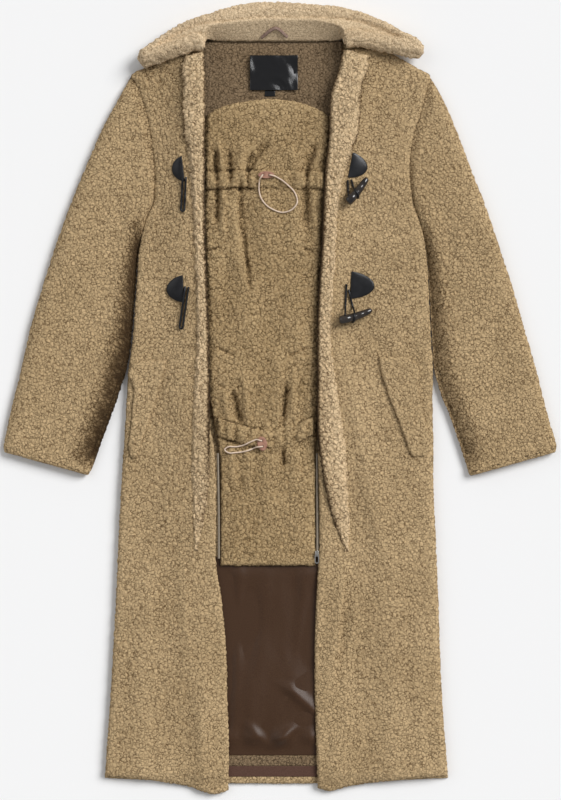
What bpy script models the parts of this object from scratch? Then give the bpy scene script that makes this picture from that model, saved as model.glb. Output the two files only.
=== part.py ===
"""A long teddy-cloth maternity coat, laid open on its back on a flat surface.

x runs to the right as one looks down on the coat, y runs from the hem to the collar and z is up, off the
surface. "Left" and "right" are the looker's. Tables and sizes are in millimetres, and the meshes in metres.
Every cloth piece is a wall between an under and an over surface, both worked out on one grid of points.
"""

from types import SimpleNamespace

import bmesh
import bpy
import numpy as np
from mathutils import Vector
from mathutils.bvhtree import BVHTree

MM = 0.001
SIDES = ("left", "right")


def table(columns, *rows):
    """Rows of numbers, read as one array for each named column."""
    return SimpleNamespace(**dict(zip(columns.split(), np.array(rows, float).T)))


# ---------------------------------------------------------------- driving sizes
TEDDY = 7.0  # curly cloth with its pile
TEDDY_THIN = 5.5  # the neck facing's cloth, pressed flat
SATIN = 1.2
SEAM_GAP = 0.5  # between pieces sewn together
REST_GAP = 0.35  # between a piece and the cloth that it lies on
ARMHOLE_GAP = 0.95
FOLD_ROUND = 7.5  # how far a turned-back edge bulges past the front inside it
BACK_TOP = TEDDY
FRONT_BASE = BACK_TOP + SEAM_GAP
CORD = 3.2  # leather cord of the toggles
ELASTIC = 2.2  # round elastic of the draw cords
SEAM_DIP, SEAM_REACH = 1.3, 26.0  # how far a front is drawn down along its side seam
SLEEVE_ROUND_TOP, SLEEVE_ROUND_BASE = 24.0, 13.0  # how wide a flattened sleeve rounds off at its folds

# Distances of a grid's lines from an edge where the cloth rounds off, is folded or is lifted.
EDGE_STEPS = np.array([0.0, 2.5, 8.0])
SIDE_STEPS = np.array([0.0, 3.0, 12.0])
FOLD_STEPS = np.array([0.0, 2.5, 8.0, 18.0, 31.0, 45.0, 61.0])
ARM_STEPS = np.array([0.0, 3.0, 9.0, 20.0])
STRIP_STEPS = np.array([0.0, 2.0, 6.0])
WELT_STEPS = np.array([0.0, 1.5, 4.5])
NO_STEPS = np.array([0.0])

# Body, from hem to neck: the side edge up to y 300, then the armhole up to 499, then the shoulder.
BODY = table(
    "y left right",
    (-584, -271, 260), (-500, -265, 253), (-406, -259, 248), (-313, -254, 245), (-220, -250, 241),
    (-127, -245, 237), (-65, -241, 237), (0, -237, 236), (50, -234, 236.5), (86, -229, 234),
    (130, -225, 232), (174, -222, 229.5), (227, -218, 226), (255, -212.5, 221), (280, -207, 214.5),
    (300, -197, 208), (320, -195, 204.5), (340, -194, 202), (360, -195, 201.5), (380, -197, 203),
    (400, -199.5, 206), (420, -203, 211.5), (442, -208, 219), (465, -214.5, 225), (490, -225, 230),
    (499, -231, 232), (512, -209, 210), (525, -187, 187), (538, -164, 163), (553, -139, 136),
)
UNDERARM, SHOULDER, NECK = 300.0, 499.0, 553.1
BACK_HEM, FRONT_HEM, FRONT_TOP = -588.0, -584.0, 540.0
HEM_EASE = 100.0  # the hems' bows fade out this far up
BACK_BOW = 9.0  # how far the back's hem hangs lower in the middle
# How far each front's hem lies below its side's, from the side seam to the front edge.
HEM_DROP = {
    "left": table("share y", (0, 0), (0.35, -7), (0.65, -16), (0.92, -28), (1, -23)),
    "right": table("share y", (0, 0), (0.25, -4), (0.5, -9), (0.75, -16), (0.94, -23), (1, -19)),
}

# Front opening: where the fronts' edges lie, and the edges of the strips turned back on them.
LEFT_FRONT = table(
    "y edge", (-613, -82), (-561, -79), (-468, -81), (-390, -83), (-313, -90), (-255, -98.6), (-185, -98.5),
    (-120, -99.5), (-80, -101.5), (-45, -108), (-10, -115), (22, -115.5), (96, -117), (171, -119.5),
    (230, -122), (350, -123), (450, -122.5), (553, -124),
)
RIGHT_FRONT = table(
    "y edge", (-613, 60), (-530, 56), (-452, 54), (-390, 54), (-350, 55), (-280, 58), (-232, 60.5),
    (-120, 60), (-85, 59.5), (-45, 62), (-10, 64.5), (22, 64.5), (96, 64.5), (171, 67.5), (230, 71.5),
    (304, 74.5), (354, 77.5), (403, 83.5), (450, 89), (499, 96), (553, 110),
)
LEFT_STRIP = table(
    "y outer fold", (-235, -132, -129), (-215, -137, -123), (-180, -141, -116), (-140, -144, -110),
    (-96, -146, -108.5), (-35, -143.5, -108), (28, -138, -108), (96, -133.5, -109.5), (171, -135, -112),
    (230, -136, -114.5), (304, -140, -115), (354, -142, -115.5), (403, -146, -115.5), (450, -150, -115),
    (535, -150, -116.5),
)
RIGHT_STRIP = table(
    "y outer fold", (-236, 106, 103), (-215, 112, 93), (-180, 114, 80), (-130, 113, 68), (-85, 111, 61),
    (-35, 105, 57), (5, 97, 57), (60, 87, 57), (96, 83.5, 57), (171, 88, 60), (230, 92, 64), (304, 96, 67),
    (354, 104, 70), (403, 117, 76), (478, 126, 81), (499, 131, 88.5), (538, 138.5, 97.5),
)
STRIP_SLOPE = 0.26  # fall of the strip's upper end towards its outer edge, along the collar's end
WRAP_FULL, WRAP_NONE = 22.0, -8.0  # between these heights the strip stops wrapping the front's edge
# The strip's turn round the front's edge: how far out, and how far down its over and under sides are.
WRAP = table("out over under", (0.35, 0.12, 0), (0.75, 0.42, 0), (1.0, 0.8, 0.5), (0.93, 1.0, 1.0))

# Nursing insert: its side edges, its arched top edge, and how high the layers under it carry it.
INSERT = table(
    "y left right", (-259, -92, 55), (-180, -92, 55), (-85, -93.5, 55.2), (-57, -98, 56), (-30, -104, 58.5),
    (0, -109, 60.5), (22, -111, 61), (96, -114, 62), (171, -117, 64.5), (230, -120, 69), (304, -121, 72),
    (354, -120, 75), (400, -119, 79), (433, -118, 81),
)
INSERT_TOP = table(
    "x y", (-118, 431), (-108, 441), (-90, 450), (-46, 460), (8, 461), (46, 452), (70, 440), (81, 432)
)
INSERT_BASE = table("y z", (-260, 8.9), (200, 8.9), (300, 10.2), (400, 13.4), (465, 13.4))
FRONT_LIFT = table(
    "y z", (-613, 2.0), (-400, 2.2), (-300, 2.8), (-240, 4.4), (-150, 7.0), (-70, 9.3), (200, 9.3),
    (300, 11.0), (400, 14.0), (553, 14.0),
)
LIFT_FLAT, LIFT_REACH = 8.0, 72.0  # the front is level for this far from its edge, then comes down

# Draw-cord channels across the insert: the middle line's height at the sides and the middle, and the width.
PUCKERS = 13
CHANNELS = {
    "upper": SimpleNamespace(side=337.0, middle=338.5, width=29.0),
    "lower": SimpleNamespace(side=-43.0, middle=-62.0, width=31.0),
}
# Gathers of the insert, each a ridge that leaves a channel: how high, how wide, how far up and down.
GATHERS = table(
    "channel x high wide up down",
    (338, -92, 3.2, 9, 26, 40), (338, -74, 2.6, 7, 34, 22), (338, -52, 3.4, 10, 48, 90),
    (338, -14, 2.2, 9, 24, 26), (338, 12, 2.4, 8, 26, 22), (338, 36, 3.4, 9, 44, 52), (338, 52, 2.6, 7, 30, 26),
    (-58, -84, 2.8, 8, 26, 20), (-58, -58, 4.2, 9, 58, 24), (-58, -40, 2.4, 7, 22, 26),
    (-58, -8, 2.4, 10, 30, 34), (-58, 14, 4.0, 8, 56, 26), (-58, 34, 2.6, 7, 22, 20),
)
# Darts of the insert, shallow seams: the ends of each, left to right.
DARTS = table("x0 y0 x1 y1", (-112, 228, -94, 233), (38, 231, 52, 226), (-95, 77, -73, 67), (16, 67, 39, 77))

# Soft folds of the fronts: the ridge's upper and lower end, its width and its height.
FOLDS = table(
    "x0 y0 x1 y1 wide high",
    (-160, 60, -172, -200, 20, 3.4), (-150, -190, -125, -480, 24, 3.0), (-205, -230, -214, -600, 22, 3.4),
    (-120, -420, -118, -612, 16, 3.2), (112, 30, 150, -200, 20, 3.6), (104, -236, 72, -470, 12, 3.4),
    (168, -220, 176, -600, 26, 3.8), (216, -260, 222, -600, 16, 2.2), (100, -420, 98, -600, 18, 2.4),
    (-165, 430, -170, 180, 22, 2.2), (165, 430, 150, 180, 22, 2.2),
)

# Sleeves, from armhole to cuff: the outer and the inner edge, and the height of the flattened tube.
LEFT_SLEEVE = table(
    "outer_x outer_y inner_x inner_y high",
    (-231.5, 499, -198.4, 299, 15.6), (-253, 459, -208.7, 278, 16.8), (-275, 417, -214.8, 250, 17.5),
    (-297, 367, -219.5, 225, 17.6), (-320, 310, -223.2, 185, 17.6), (-343, 248, -226.3, 135, 17.6),
    (-365, 180, -231, 84, 17.6), (-387, 105, -236.8, 48, 17.6), (-400, 46, -248, 10, 17.5),
    (-414, -10, -263, -33, 17.3), (-423, -50, -280, -78, 17.0), (-427, -70, -289, -103, 16.6),
    (-427.5, -77, -294, -114, 15.6),
)
RIGHT_SLEEVE = table(
    "outer_x outer_y inner_x inner_y high",
    (232.5, 499, 209.4, 299, 15.6), (255, 458, 216.7, 277, 16.8), (276, 408, 223, 252, 17.5),
    (295, 357, 227.4, 222, 17.6), (316, 303, 230.4, 185, 17.6), (338, 238, 233.2, 135, 17.6),
    (359, 174, 235.6, 84, 17.6), (381, 98, 239.4, 42, 17.6), (397, 42, 250, 4, 17.5),
    (412, -18, 265, -33, 17.3), (422, -52, 279, -75, 17.0), (427, -70, 288, -103, 16.6),
    (427.5, -77, 292, -115, 15.6),
)

# Collar, from its left tip round the back of the neck to its right tip: the inner edge, the roll line and the
# outer edge, the roll's and the outer edge's heights, and the share of the way down to the surface below.
COLLAR = table(
    "inner_x inner_y roll_x roll_y edge_x edge_y roll_z edge_z down",
    (-115, 539, -119, 540, -210, 511, 41, 26, 0.0), (-115, 544, -119, 545, -216, 520, 42, 26, 0.0),
    (-114, 550, -118, 552, -217, 533, 42.5, 25, 0.0), (-111, 555, -117, 564, -186, 556, 42.5, 22, 0.5),
    (-98, 554.5, -107, 573, -149, 579, 42, 19, 1.0), (-72, 553.7, -79, 579, -99, 598, 41, 17, 1.0),
    (-38, 553.5, -43, 583, -50, 610, 40, 16, 1.0), (0, 553.5, 0, 584, 0, 612, 40, 16, 1.0),
    (36, 553.5, 42, 583, 58, 608, 40, 16, 1.0), (68, 554, 78, 578, 108, 601, 41, 17, 1.0),
    (90, 555, 95, 570, 154, 584, 42, 19, 1.0), (95, 556, 99, 562, 190, 565, 42.5, 22, 0.5),
    (96, 553, 100, 555, 217, 550, 42.5, 25, 0.0), (97, 549, 101, 550, 221, 538, 42, 26, 0.0),
    (99, 544, 103, 545, 214, 526, 41, 26, 0.0),
)

COLLAR_FOOT, COLLAR_FOOT_WING = 13.5, 28.0  # the stand's inner edge at the neck and at the wings
COLLAR_EDGE_ROUND = 13.0
COLLAR_ENDS = np.array([0.62, 0.86, 0.97, 1.0])  # its height at and next to either end

# Pocket welts: the mouth's upper and lower end, and the width outwards there.
POCKETS = {
    "left": table("y inner outer", (59, -176, -211), (56, -176.5, -218), (10, -188, -226), (-40, -204, -230),
                  (-85, -219, -233), (-93, -222, -230)),
    "right": table("y inner outer", (64, 154, 196), (59, 153.5, 204), (15, 164, 213), (-40, 185, 226),
                   (-80, 199, 231), (-90, 203, 226)),
}

# Toggle patches: the middle of the straight side, how far the point reaches out, half length, tilt in degrees.
PATCHES = {
    "upper_left": SimpleNamespace(x=-149.0, y=354.0, reach=-18.0, half=19.5, tilt=7.0),
    "lower_left": SimpleNamespace(x=-148.5, y=169.0, reach=-27.0, half=21.0, tilt=4.0),
    "upper_right": SimpleNamespace(x=108.5, y=360.0, reach=27.0, half=19.5, tilt=-11.0),
    "lower_right": SimpleNamespace(x=109.0, y=175.0, reach=37.0, half=21.0, tilt=-3.0),
}
PATCH_THICK = 2.0
PATCH_ROWS = np.array([-1.0, -0.9, -0.68, -0.35, 0.0, 0.35, 0.68, 0.9, 1.0])
# Loops on the left: where the two strands start, and where they turn.
LOOPS = {"upper": ((-147.5, 341.0), (-150.0, 291.0)), "lower": ((-143.5, 172.0), (-152.5, 110.0))}
LOOP_HALF = 2.6  # from the middle of the loop to either strand's

# Horn toggles: thick end and tip in plan, and the radius from the thick end to the tip.
TOGGLES = {
    "upper": SimpleNamespace(thick=(103.0, 301.5), tip=(134.5, 339.5)),
    "lower": SimpleNamespace(thick=(90.5, 120.0), tip=(141.5, 136.5)),
}
HORN = table("share radius", (0, 3.4), (0.03, 4.9), (0.09, 5.9), (0.2, 6.0), (0.35, 5.5), (0.5, 5.3),
             (0.65, 4.9), (0.82, 4.2), (0.94, 3.4), (0.98, 2.7), (1, 1.8))
# Where the two strands of each toggle's cord come out from under its patch.
CORD_STARTS = {"upper": ((104.5, 336.5), (110.0, 337.5)), "lower": ((102.5, 176.0), (106.0, 167.5))}
HORN_SAG = 2.5  # how far its middle hangs below the straight line from end to end, in plan
CORD_TURN = (0.22, 0.5, 30.0, -330.0)  # where the cord goes round the horn, and from which angle to which

# Draw cords: the ways of the two loops on the insert, from one hole of the stop round to the other.
DRAW_CORDS = {
    "upper": table("x y", (-31.5, 337.5), (-32.5, 324), (-30, 311), (-23, 300), (-11, 291.5), (4, 287),
                   (18, 291), (26.5, 302), (23, 317), (11, 330), (-1, 339), (-8, 342.5)),
    "lower": table("x y", (-36.5, -63.5), (-46, -67.5), (-58, -73), (-70, -75), (-80, -75), (-85.5, -79.5),
                   (-80, -84), (-69, -84), (-57, -82.5), (-46, -79.5), (-37, -75.5)),
}
STOPS = {
    "upper": SimpleNamespace(x=-21.5, y=344.5, long=25.0, wide=11.0, turn=0.0),
    "lower": SimpleNamespace(x=-27.5, y=-70.0, long=22.0, wide=15.0, turn=100.0),
}
STOP_HIGH, STOP_ROUND, STOP_HOLES = 4.5, 1.2, 0.2  # the holes lie this share of its length off its middle

# Neck label with its size tab, and the tape loop to hang the coat by.
LABEL = SimpleNamespace(left=-46.5, right=27.5, low=476.0, high=530.0, thick=0.9)
TAB = SimpleNamespace(left=-23.5, right=-7.5, low=466.5, high=475.6, thick=0.9)
HANGER = table("x y", (-29, 556), (-24, 560), (-16, 566), (-7, 570), (0, 567), (6, 562), (12, 557))
HANGER_WIDE, HANGER_THICK = 5.0, 1.2

# Inside of the back below the insert.
LINING = SimpleNamespace(left=-108.0, right=76.0, low=-552.5, high=-246.0)
HEM_BAND = SimpleNamespace(left=-100.0, right=72.0, low=-568.5, high=-553.0)
HEM_TAPE = SimpleNamespace(left=-100.0, right=72.0, low=-585.5, high=-569.0)
HEM_BAND_THICK, HEM_TAPE_THICK = 1.5, 0.9
NECK_FACING = SimpleNamespace(left=-108.0, right=92.0, low=392.0, high=NECK)
LINING_FOLDS = table(
    "x0 y0 x1 y1 wide high", (-62, -255, -70, -552, 9, 2.6), (14, -420, 54, -500, 11, 4.2),
    (-30, -552, 18, -500, 10, 3.2), (-20, -262, -34, -430, 12, 2.0), (38, -260, 30, -380, 9, 2.0),
    (-52, -500, -6, -552, 8, 2.2),
)

# Zips at the insert's sides, and the slider with its pull on the right one.
ZIP_WIDE, ZIP_THICK = 3.4, 2.0
ZIPS = {"left": table("y x", (-248, -94.6), (-180, -94.8), (-85, -96.3)),
        "right": table("y x", (-239, 57.7), (-180, 57.6), (-85, 57.4))}
ZIP_SINK = 2.4  # how far the zip's underside lies below the cloth's upper side
SLIDER = SimpleNamespace(x=57.0, y=-240.0, wide=5.6, long=9.0, high=3.2)
BRIDGE = SimpleNamespace(y=-240.5, wide=1.6, long=6.0, high=3.1)
BRIDGE_EYE = SimpleNamespace(wide=3.2, long=3.4, low=0.1, high=2.3)
HINGE_RISE = 1.2  # of the pull's hinge above the slider's body
# The pull's outer and inner outline: half width, and how far it reaches past the hinge and down.
PULL_OUTER = SimpleNamespace(half=3.5, top=0.45, low=-15.0)
PULL_INNER = SimpleNamespace(half=2.0, top=-0.45, low=-13.5)
PULL_THICK, PULL_SIDES, PULL_TILT = 0.9, 24, 8.0  # the tilt is down towards the cloth, in degrees

# ---------------------------------------------------------------- finishes: colour, roughness
FINISHES = {
    "teddy": ((0.46, 0.36, 0.24), 0.95),
    "satin_lining": ((0.10, 0.075, 0.06), 0.45),
    "satin_black": ((0.015, 0.015, 0.017), 0.35),
    "leather_black": ((0.02, 0.02, 0.022), 0.4),
    "horn": ((0.025, 0.02, 0.018), 0.25),
    "elastic": ((0.70, 0.60, 0.50), 0.8),
    "stop_leather": ((0.42, 0.25, 0.17), 0.5),
    "tape": ((0.20, 0.13, 0.11), 0.7),
    "zip_tape": ((0.33, 0.28, 0.22), 0.7),
    "zip_metal": ((0.55, 0.52, 0.48), 0.35),
}
METALS = {"zip_metal"}


# ---------------------------------------------------------------- curves and surfaces
def smooth(xs, ys, x):
    """Smooth curve through a table: cubic pieces, each slope the one of the table around its point."""
    slope = np.gradient(ys, xs)
    i = np.clip(np.searchsorted(xs, x) - 1, 0, len(xs) - 2)
    span = xs[i + 1] - xs[i]
    t = np.clip((x - xs[i]) / span, 0.0, 1.0)
    start = ys[i] * (1 + 2 * t) * (1 - t) ** 2 + slope[i] * span * t * (1 - t) ** 2
    end = ys[i + 1] * t * t * (3 - 2 * t) - slope[i + 1] * span * t * t * (1 - t)
    return start + end


def step(low, high, x):
    """0 below low, 1 above high, and a smooth rise between them."""
    t = np.clip((x - low) / (high - low), 0.0, 1.0)
    return t * t * (3 - 2 * t)


def rounded(distance, radius):
    """Quarter ellipse: 0 at an edge, 1 from the radius inwards."""
    return np.sqrt(1 - (1 - np.clip(distance / radius, 0.0, 1.0)) ** 2)


def ridges(folds, x, y):
    """Sum of soft ridges: each a bell across its line, fading over the first and last third of the line."""
    total = np.zeros(np.broadcast(x, y).shape)
    for x0, y0, x1, y1, wide, high in zip(folds.x0, folds.y0, folds.x1, folds.y1, folds.wide, folds.high):
        along = (np.asarray(y) - y0) / (y1 - y0)
        across = x - (x0 + (x1 - x0) * along)
        fade = step(-0.15, 0.3, along) * (1 - step(0.8, 1.25, along))
        total = total + high * fade * np.exp(-((across / wide) ** 2))
    return total


def spread(width, near, far, middle):
    """Distances from 0 to each width: fixed steps near both ends and even ones between them."""
    width = np.atleast_1d(np.asarray(width, float))[:, None]
    squeeze = np.minimum(1.0, 0.8 * width / (near[-1] + far[-1]))
    start, end = near * squeeze, width - far[::-1] * squeeze
    inner = np.linspace(0, 1, middle + 2)[1:-1]
    between = start[:, -1:] + (end[:, :1] - start[:, -1:]) * inner
    return np.concatenate([start, between, end], axis=1)


def stack(*axes):
    """x, y and z arrays as one array of points."""
    return np.stack(np.broadcast_arrays(*axes), axis=-1)


# ---------------------------------------------------------------- objects
def finish(name):
    """The material of one finish, made on first use."""
    if name in bpy.data.materials:
        return bpy.data.materials[name]
    material = bpy.data.materials.new(name)
    material.use_nodes = True
    shader = material.node_tree.nodes["Principled BSDF"]
    colour, roughness = FINISHES[name]
    shader.inputs["Base Color"].default_value = (*colour, 1.0)
    shader.inputs["Roughness"].default_value = roughness
    shader.inputs["Metallic"].default_value = 1.0 if name in METALS else 0.0
    material.diffuse_color = (*colour, 1.0)
    return material


def add_object(name, data, finish_name):
    """Put a mesh or a curve into the coat's collection, with its finish."""
    piece = bpy.data.objects.new(name, data)
    coat.objects.link(piece)
    data.materials.append(finish(finish_name))
    return piece


def add_mesh(name, points, faces, finish_name):
    """A closed mesh from points in millimetres, its faces turned outwards."""
    mesh = bpy.data.meshes.new(name)
    mesh.from_pydata((np.asarray(points) * MM).tolist(), [], [tuple(map(int, face)) for face in faces])
    work = bmesh.new()
    work.from_mesh(mesh)
    bmesh.ops.recalc_face_normals(work, faces=work.faces)
    work.to_mesh(mesh)
    work.free()
    mesh.shade_smooth()
    mesh.set_sharp_from_angle(angle=0.9)
    return add_object(name, mesh, finish_name)


def quads(a, b, c, d):
    """Four-sided faces from four arrays of corners."""
    return np.stack([a.ravel(), b.ravel(), c.ravel(), d.ravel()], axis=1)


def wall(name, under, over, finish_name):
    """A wall of cloth between two grids of points of the same size, closed round its four edges."""
    rows, columns = under.shape[:2]
    index = np.arange(rows * columns).reshape(rows, columns)
    upper = index + rows * columns
    faces = [
        quads(upper[:-1, :-1], upper[:-1, 1:], upper[1:, 1:], upper[1:, :-1]),
        quads(index[:-1, :-1], index[1:, :-1], index[1:, 1:], index[:-1, 1:]),
    ]
    rim = np.concatenate([index[0, :], index[1:, -1], index[-1, -2::-1], index[-2:0:-1, 0]])
    following = np.roll(rim, -1)
    faces.append(quads(rim, following, following + rows * columns, rim + rows * columns))
    points = np.concatenate([under.reshape(-1, 3), over.reshape(-1, 3)])
    return add_mesh(name, points, np.concatenate(faces), finish_name)


def tube_wall(name, outside, inside, finish_name):
    """A tube with a wall: rings of points outside and inside, closed across both ends."""
    rings, around = outside.shape[:2]
    index = np.arange(rings * around).reshape(rings, around)
    nxt = np.roll(index, -1, axis=1)
    shift = rings * around
    faces = [
        quads(index[:-1], nxt[:-1], nxt[1:], index[1:]),
        quads(index[:-1] + shift, index[1:] + shift, nxt[1:] + shift, nxt[:-1] + shift),
        quads(index[0], index[0] + shift, nxt[0] + shift, nxt[0]),
        quads(index[-1], nxt[-1], nxt[-1] + shift, index[-1] + shift),
    ]
    points = np.concatenate([outside.reshape(-1, 3), inside.reshape(-1, 3)])
    return add_mesh(name, points, np.concatenate(faces), finish_name)


def height(carriers, x, y, reach=0.0):
    """Height in millimetres of the highest carrier under each x, y, looked for over a disc of radius reach."""
    x, y = np.broadcast_arrays(x, y)
    graph = bpy.context.evaluated_depsgraph_get()
    trees = [BVHTree.FromObject(carrier, graph) for carrier in carriers]
    turns = np.linspace(0, 2 * np.pi, 8, endpoint=False)
    offsets = [(0.0, 0.0)] + ([(reach * np.cos(a), reach * np.sin(a)) for a in turns] if reach else [])
    result = []
    for px, py in zip(np.ravel(x), np.ravel(y)):
        best = 0.0
        for dx, dy in offsets:
            for tree in trees:
                hit = tree.ray_cast(Vector(((px + dx) * MM, (py + dy) * MM, 1.0)), Vector((0, 0, -1)))[0]
                best = max(best, hit.z / MM if hit else 0.0)
        result.append(best)
    return np.array(result).reshape(np.shape(x))


def tube(name, route, radius, finish_name, radii=None, sides=2):
    """A cord or a turned piece along a route of points: a poly curve with a round bevel and closed ends."""
    curve = bpy.data.curves.new(name, "CURVE")
    curve.dimensions = "3D"
    curve.bevel_depth = radius * MM
    curve.bevel_resolution = sides
    curve.use_fill_caps = True
    spline = curve.splines.new("POLY")
    spline.points.add(len(route) - 1)
    for i, (point, place) in enumerate(zip(spline.points, route)):
        point.co = (*(np.asarray(place) * MM), 1.0)
        point.radius = 1.0 if radii is None else radii[i] / radius
    return add_object(name, curve, finish_name)


def route_points(route, pitch):
    """Points every pitch millimetres on the smooth curve through a route's own points."""
    way = np.concatenate([[0], np.cumsum(np.linalg.norm(np.diff(route, axis=0), axis=1))])
    count = max(2, int(round(way[-1] / pitch)) + 1)
    at = np.linspace(0, way[-1], count)
    return np.stack([smooth(way, column, at) for column in route.T], axis=1)


# ---------------------------------------------------------------- body
ARM_WAY = spread(SHOULDER - UNDERARM, ARM_STEPS, ARM_STEPS, 3)[0]
ARM_ROWS = UNDERARM + ARM_WAY


def body_rows(low, top):
    """The rows of a body panel: close together at the hem, then even, then the armhole's and the shoulder's."""
    skirt = low + spread(UNDERARM - low, EDGE_STEPS, NO_STEPS, 12)[0]
    shoulder = np.linspace(SHOULDER, top, 4)[1:]
    return np.concatenate([skirt[:-1], ARM_ROWS, shoulder])


def side_edge(side, y):
    """The body's outer edge: straight between the armhole's rows, so that the sleeve's seam matches it."""
    edge = getattr(BODY, side)
    plain = smooth(BODY.y, edge, y)
    seam = np.interp(y, ARM_ROWS, smooth(BODY.y, edge, ARM_ROWS))
    return np.where((y > UNDERARM) & (y < SHOULDER), seam, plain)


def front_edge(side, y):
    """The front's inner edge, under the strip that is turned back on it."""
    front = LEFT_FRONT if side == "left" else RIGHT_FRONT
    return smooth(front.y, front.edge, y)


def front_under(side, x, y):
    """The underside of a front: on the back at the side, carried up over the insert near the front edge."""
    inward = np.abs(x - front_edge(side, y))
    share = 0.5 + 0.5 * np.cos(np.pi * np.clip((inward - LIFT_FLAT) / (LIFT_REACH - LIFT_FLAT), 0, 1))
    return FRONT_BASE + smooth(FRONT_LIFT.y, FRONT_LIFT.z, y) * share + ridges(FOLDS, x, y)


def front_over(side, x, y):
    """The fronts' upper side, away from their edges."""
    return front_under(side, x, y) + TEDDY


def make_back():
    """The back: flat underneath, its upper edges rounded, its hem bowed down in the middle."""
    rows = body_rows(BACK_HEM, NECK)
    left, right = side_edge("left", rows), side_edge("right", rows)
    way = spread(right - left, EDGE_STEPS, EDGE_STEPS, 3)
    x = left[:, None] + way
    share = way / (right - left)[:, None]
    low = 1 - step(BACK_HEM, BACK_HEM + HEM_EASE, rows)[:, None]
    y = rows[:, None] - BACK_BOW * low * np.sin(np.pi * share)
    to_edge = np.minimum(np.minimum(way, way[:, ::-1]), (rows - rows[0])[:, None])
    over = BACK_TOP * (0.5 + 0.5 * rounded(to_edge, TEDDY))
    wall("back", stack(x, y, 0.0), stack(x, y, over), "teddy")


def make_front(side):
    """A front: its edge lifted on the insert, soft folds in both its sides, and its hem lower at the front."""
    rows = body_rows(FRONT_HEM, FRONT_TOP)
    outer, inner = side_edge(side, rows), front_edge(side, rows)
    way = spread(np.abs(inner - outer), SIDE_STEPS, FOLD_STEPS, 3)
    share = way / np.abs(inner - outer)[:, None]
    x = outer[:, None] + (inner - outer)[:, None] * share
    drop = smooth(HEM_DROP[side].share, HEM_DROP[side].y, share)
    y = rows[:, None] + drop * (1 - step(FRONT_HEM, FRONT_HEM + HEM_EASE, rows)[:, None])
    under = front_under(side, x, y)
    to_edge = np.minimum(np.minimum(way, way[:, ::-1]), (rows - rows[0])[:, None])
    dip = SEAM_DIP * (1 - rounded(way, SEAM_REACH))
    over = under + TEDDY * (0.45 + 0.55 * rounded(to_edge, TEDDY)) - dip
    return wall("front_" + side, stack(x, y, under), stack(x, y, over), "teddy")


def make_strip(side):
    """The front's edge turned back as a strip: it wraps the front's edge above, and lies on it further down."""
    strip = LEFT_STRIP if side == "left" else RIGHT_STRIP
    sign = 1.0 if side == "left" else -1.0
    low, high = strip.y[0], strip.y[-1]
    rows = low + spread(high - low, EDGE_STEPS, EDGE_STEPS[:2], 13)[0]
    outer, fold = smooth(strip.y, strip.outer, rows), smooth(strip.y, strip.fold, rows)
    wrap = step(WRAP_NONE, WRAP_FULL, rows)[:, None]
    free = 1 - wrap
    flat = np.abs(fold - outer) - FOLD_ROUND * wrap[:, 0]
    way = spread(flat, STRIP_STEPS, STRIP_STEPS[:2] * 2, 2)
    x = outer[:, None] + sign * way
    slope = STRIP_SLOPE * (flat[:, None] - way) * step(high - 50, high, rows)[:, None]
    y = rows[:, None] - np.concatenate([slope, np.zeros((len(rows), len(WRAP.out)))], axis=1)
    ground = front_over(side, x, y[:, :way.shape[1]]) + SEAM_GAP + 0.2
    ends = np.minimum(step(low - 8, low + 60, rows), 0.5 + 0.5 * rounded(high - rows, TEDDY))
    thick = TEDDY * (0.35 + 0.65 * ends)[:, None]
    crest = ground + thick * (0.3 + 0.7 * rounded(way, TEDDY))
    # the last points turn down round the front's edge, or close the strip where it only lies on the front
    edge_ground, edge_x = ground[:, -1:], x[:, -1:]
    drop = TEDDY + SEAM_GAP - 0.4
    reach_x = edge_x + sign * (FOLD_ROUND * wrap + 0.6 * free) * WRAP.out
    over_z = edge_ground + thick - ((drop * wrap + thick) * WRAP.over * wrap + thick * 0.75 * WRAP.over * free)
    inner_x = edge_x + sign * np.linspace(0.25, 1.0, len(WRAP.out)) * (wrap + 0.5 * free)
    under_z = edge_ground - drop * wrap * WRAP.under
    under = stack(np.concatenate([x, inner_x], 1), y, np.concatenate([ground, under_z], 1))
    over = stack(np.concatenate([x, reach_x], 1), y, np.concatenate([crest, over_z], 1))
    wall("facing_" + side, under, over, "teddy")


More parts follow.
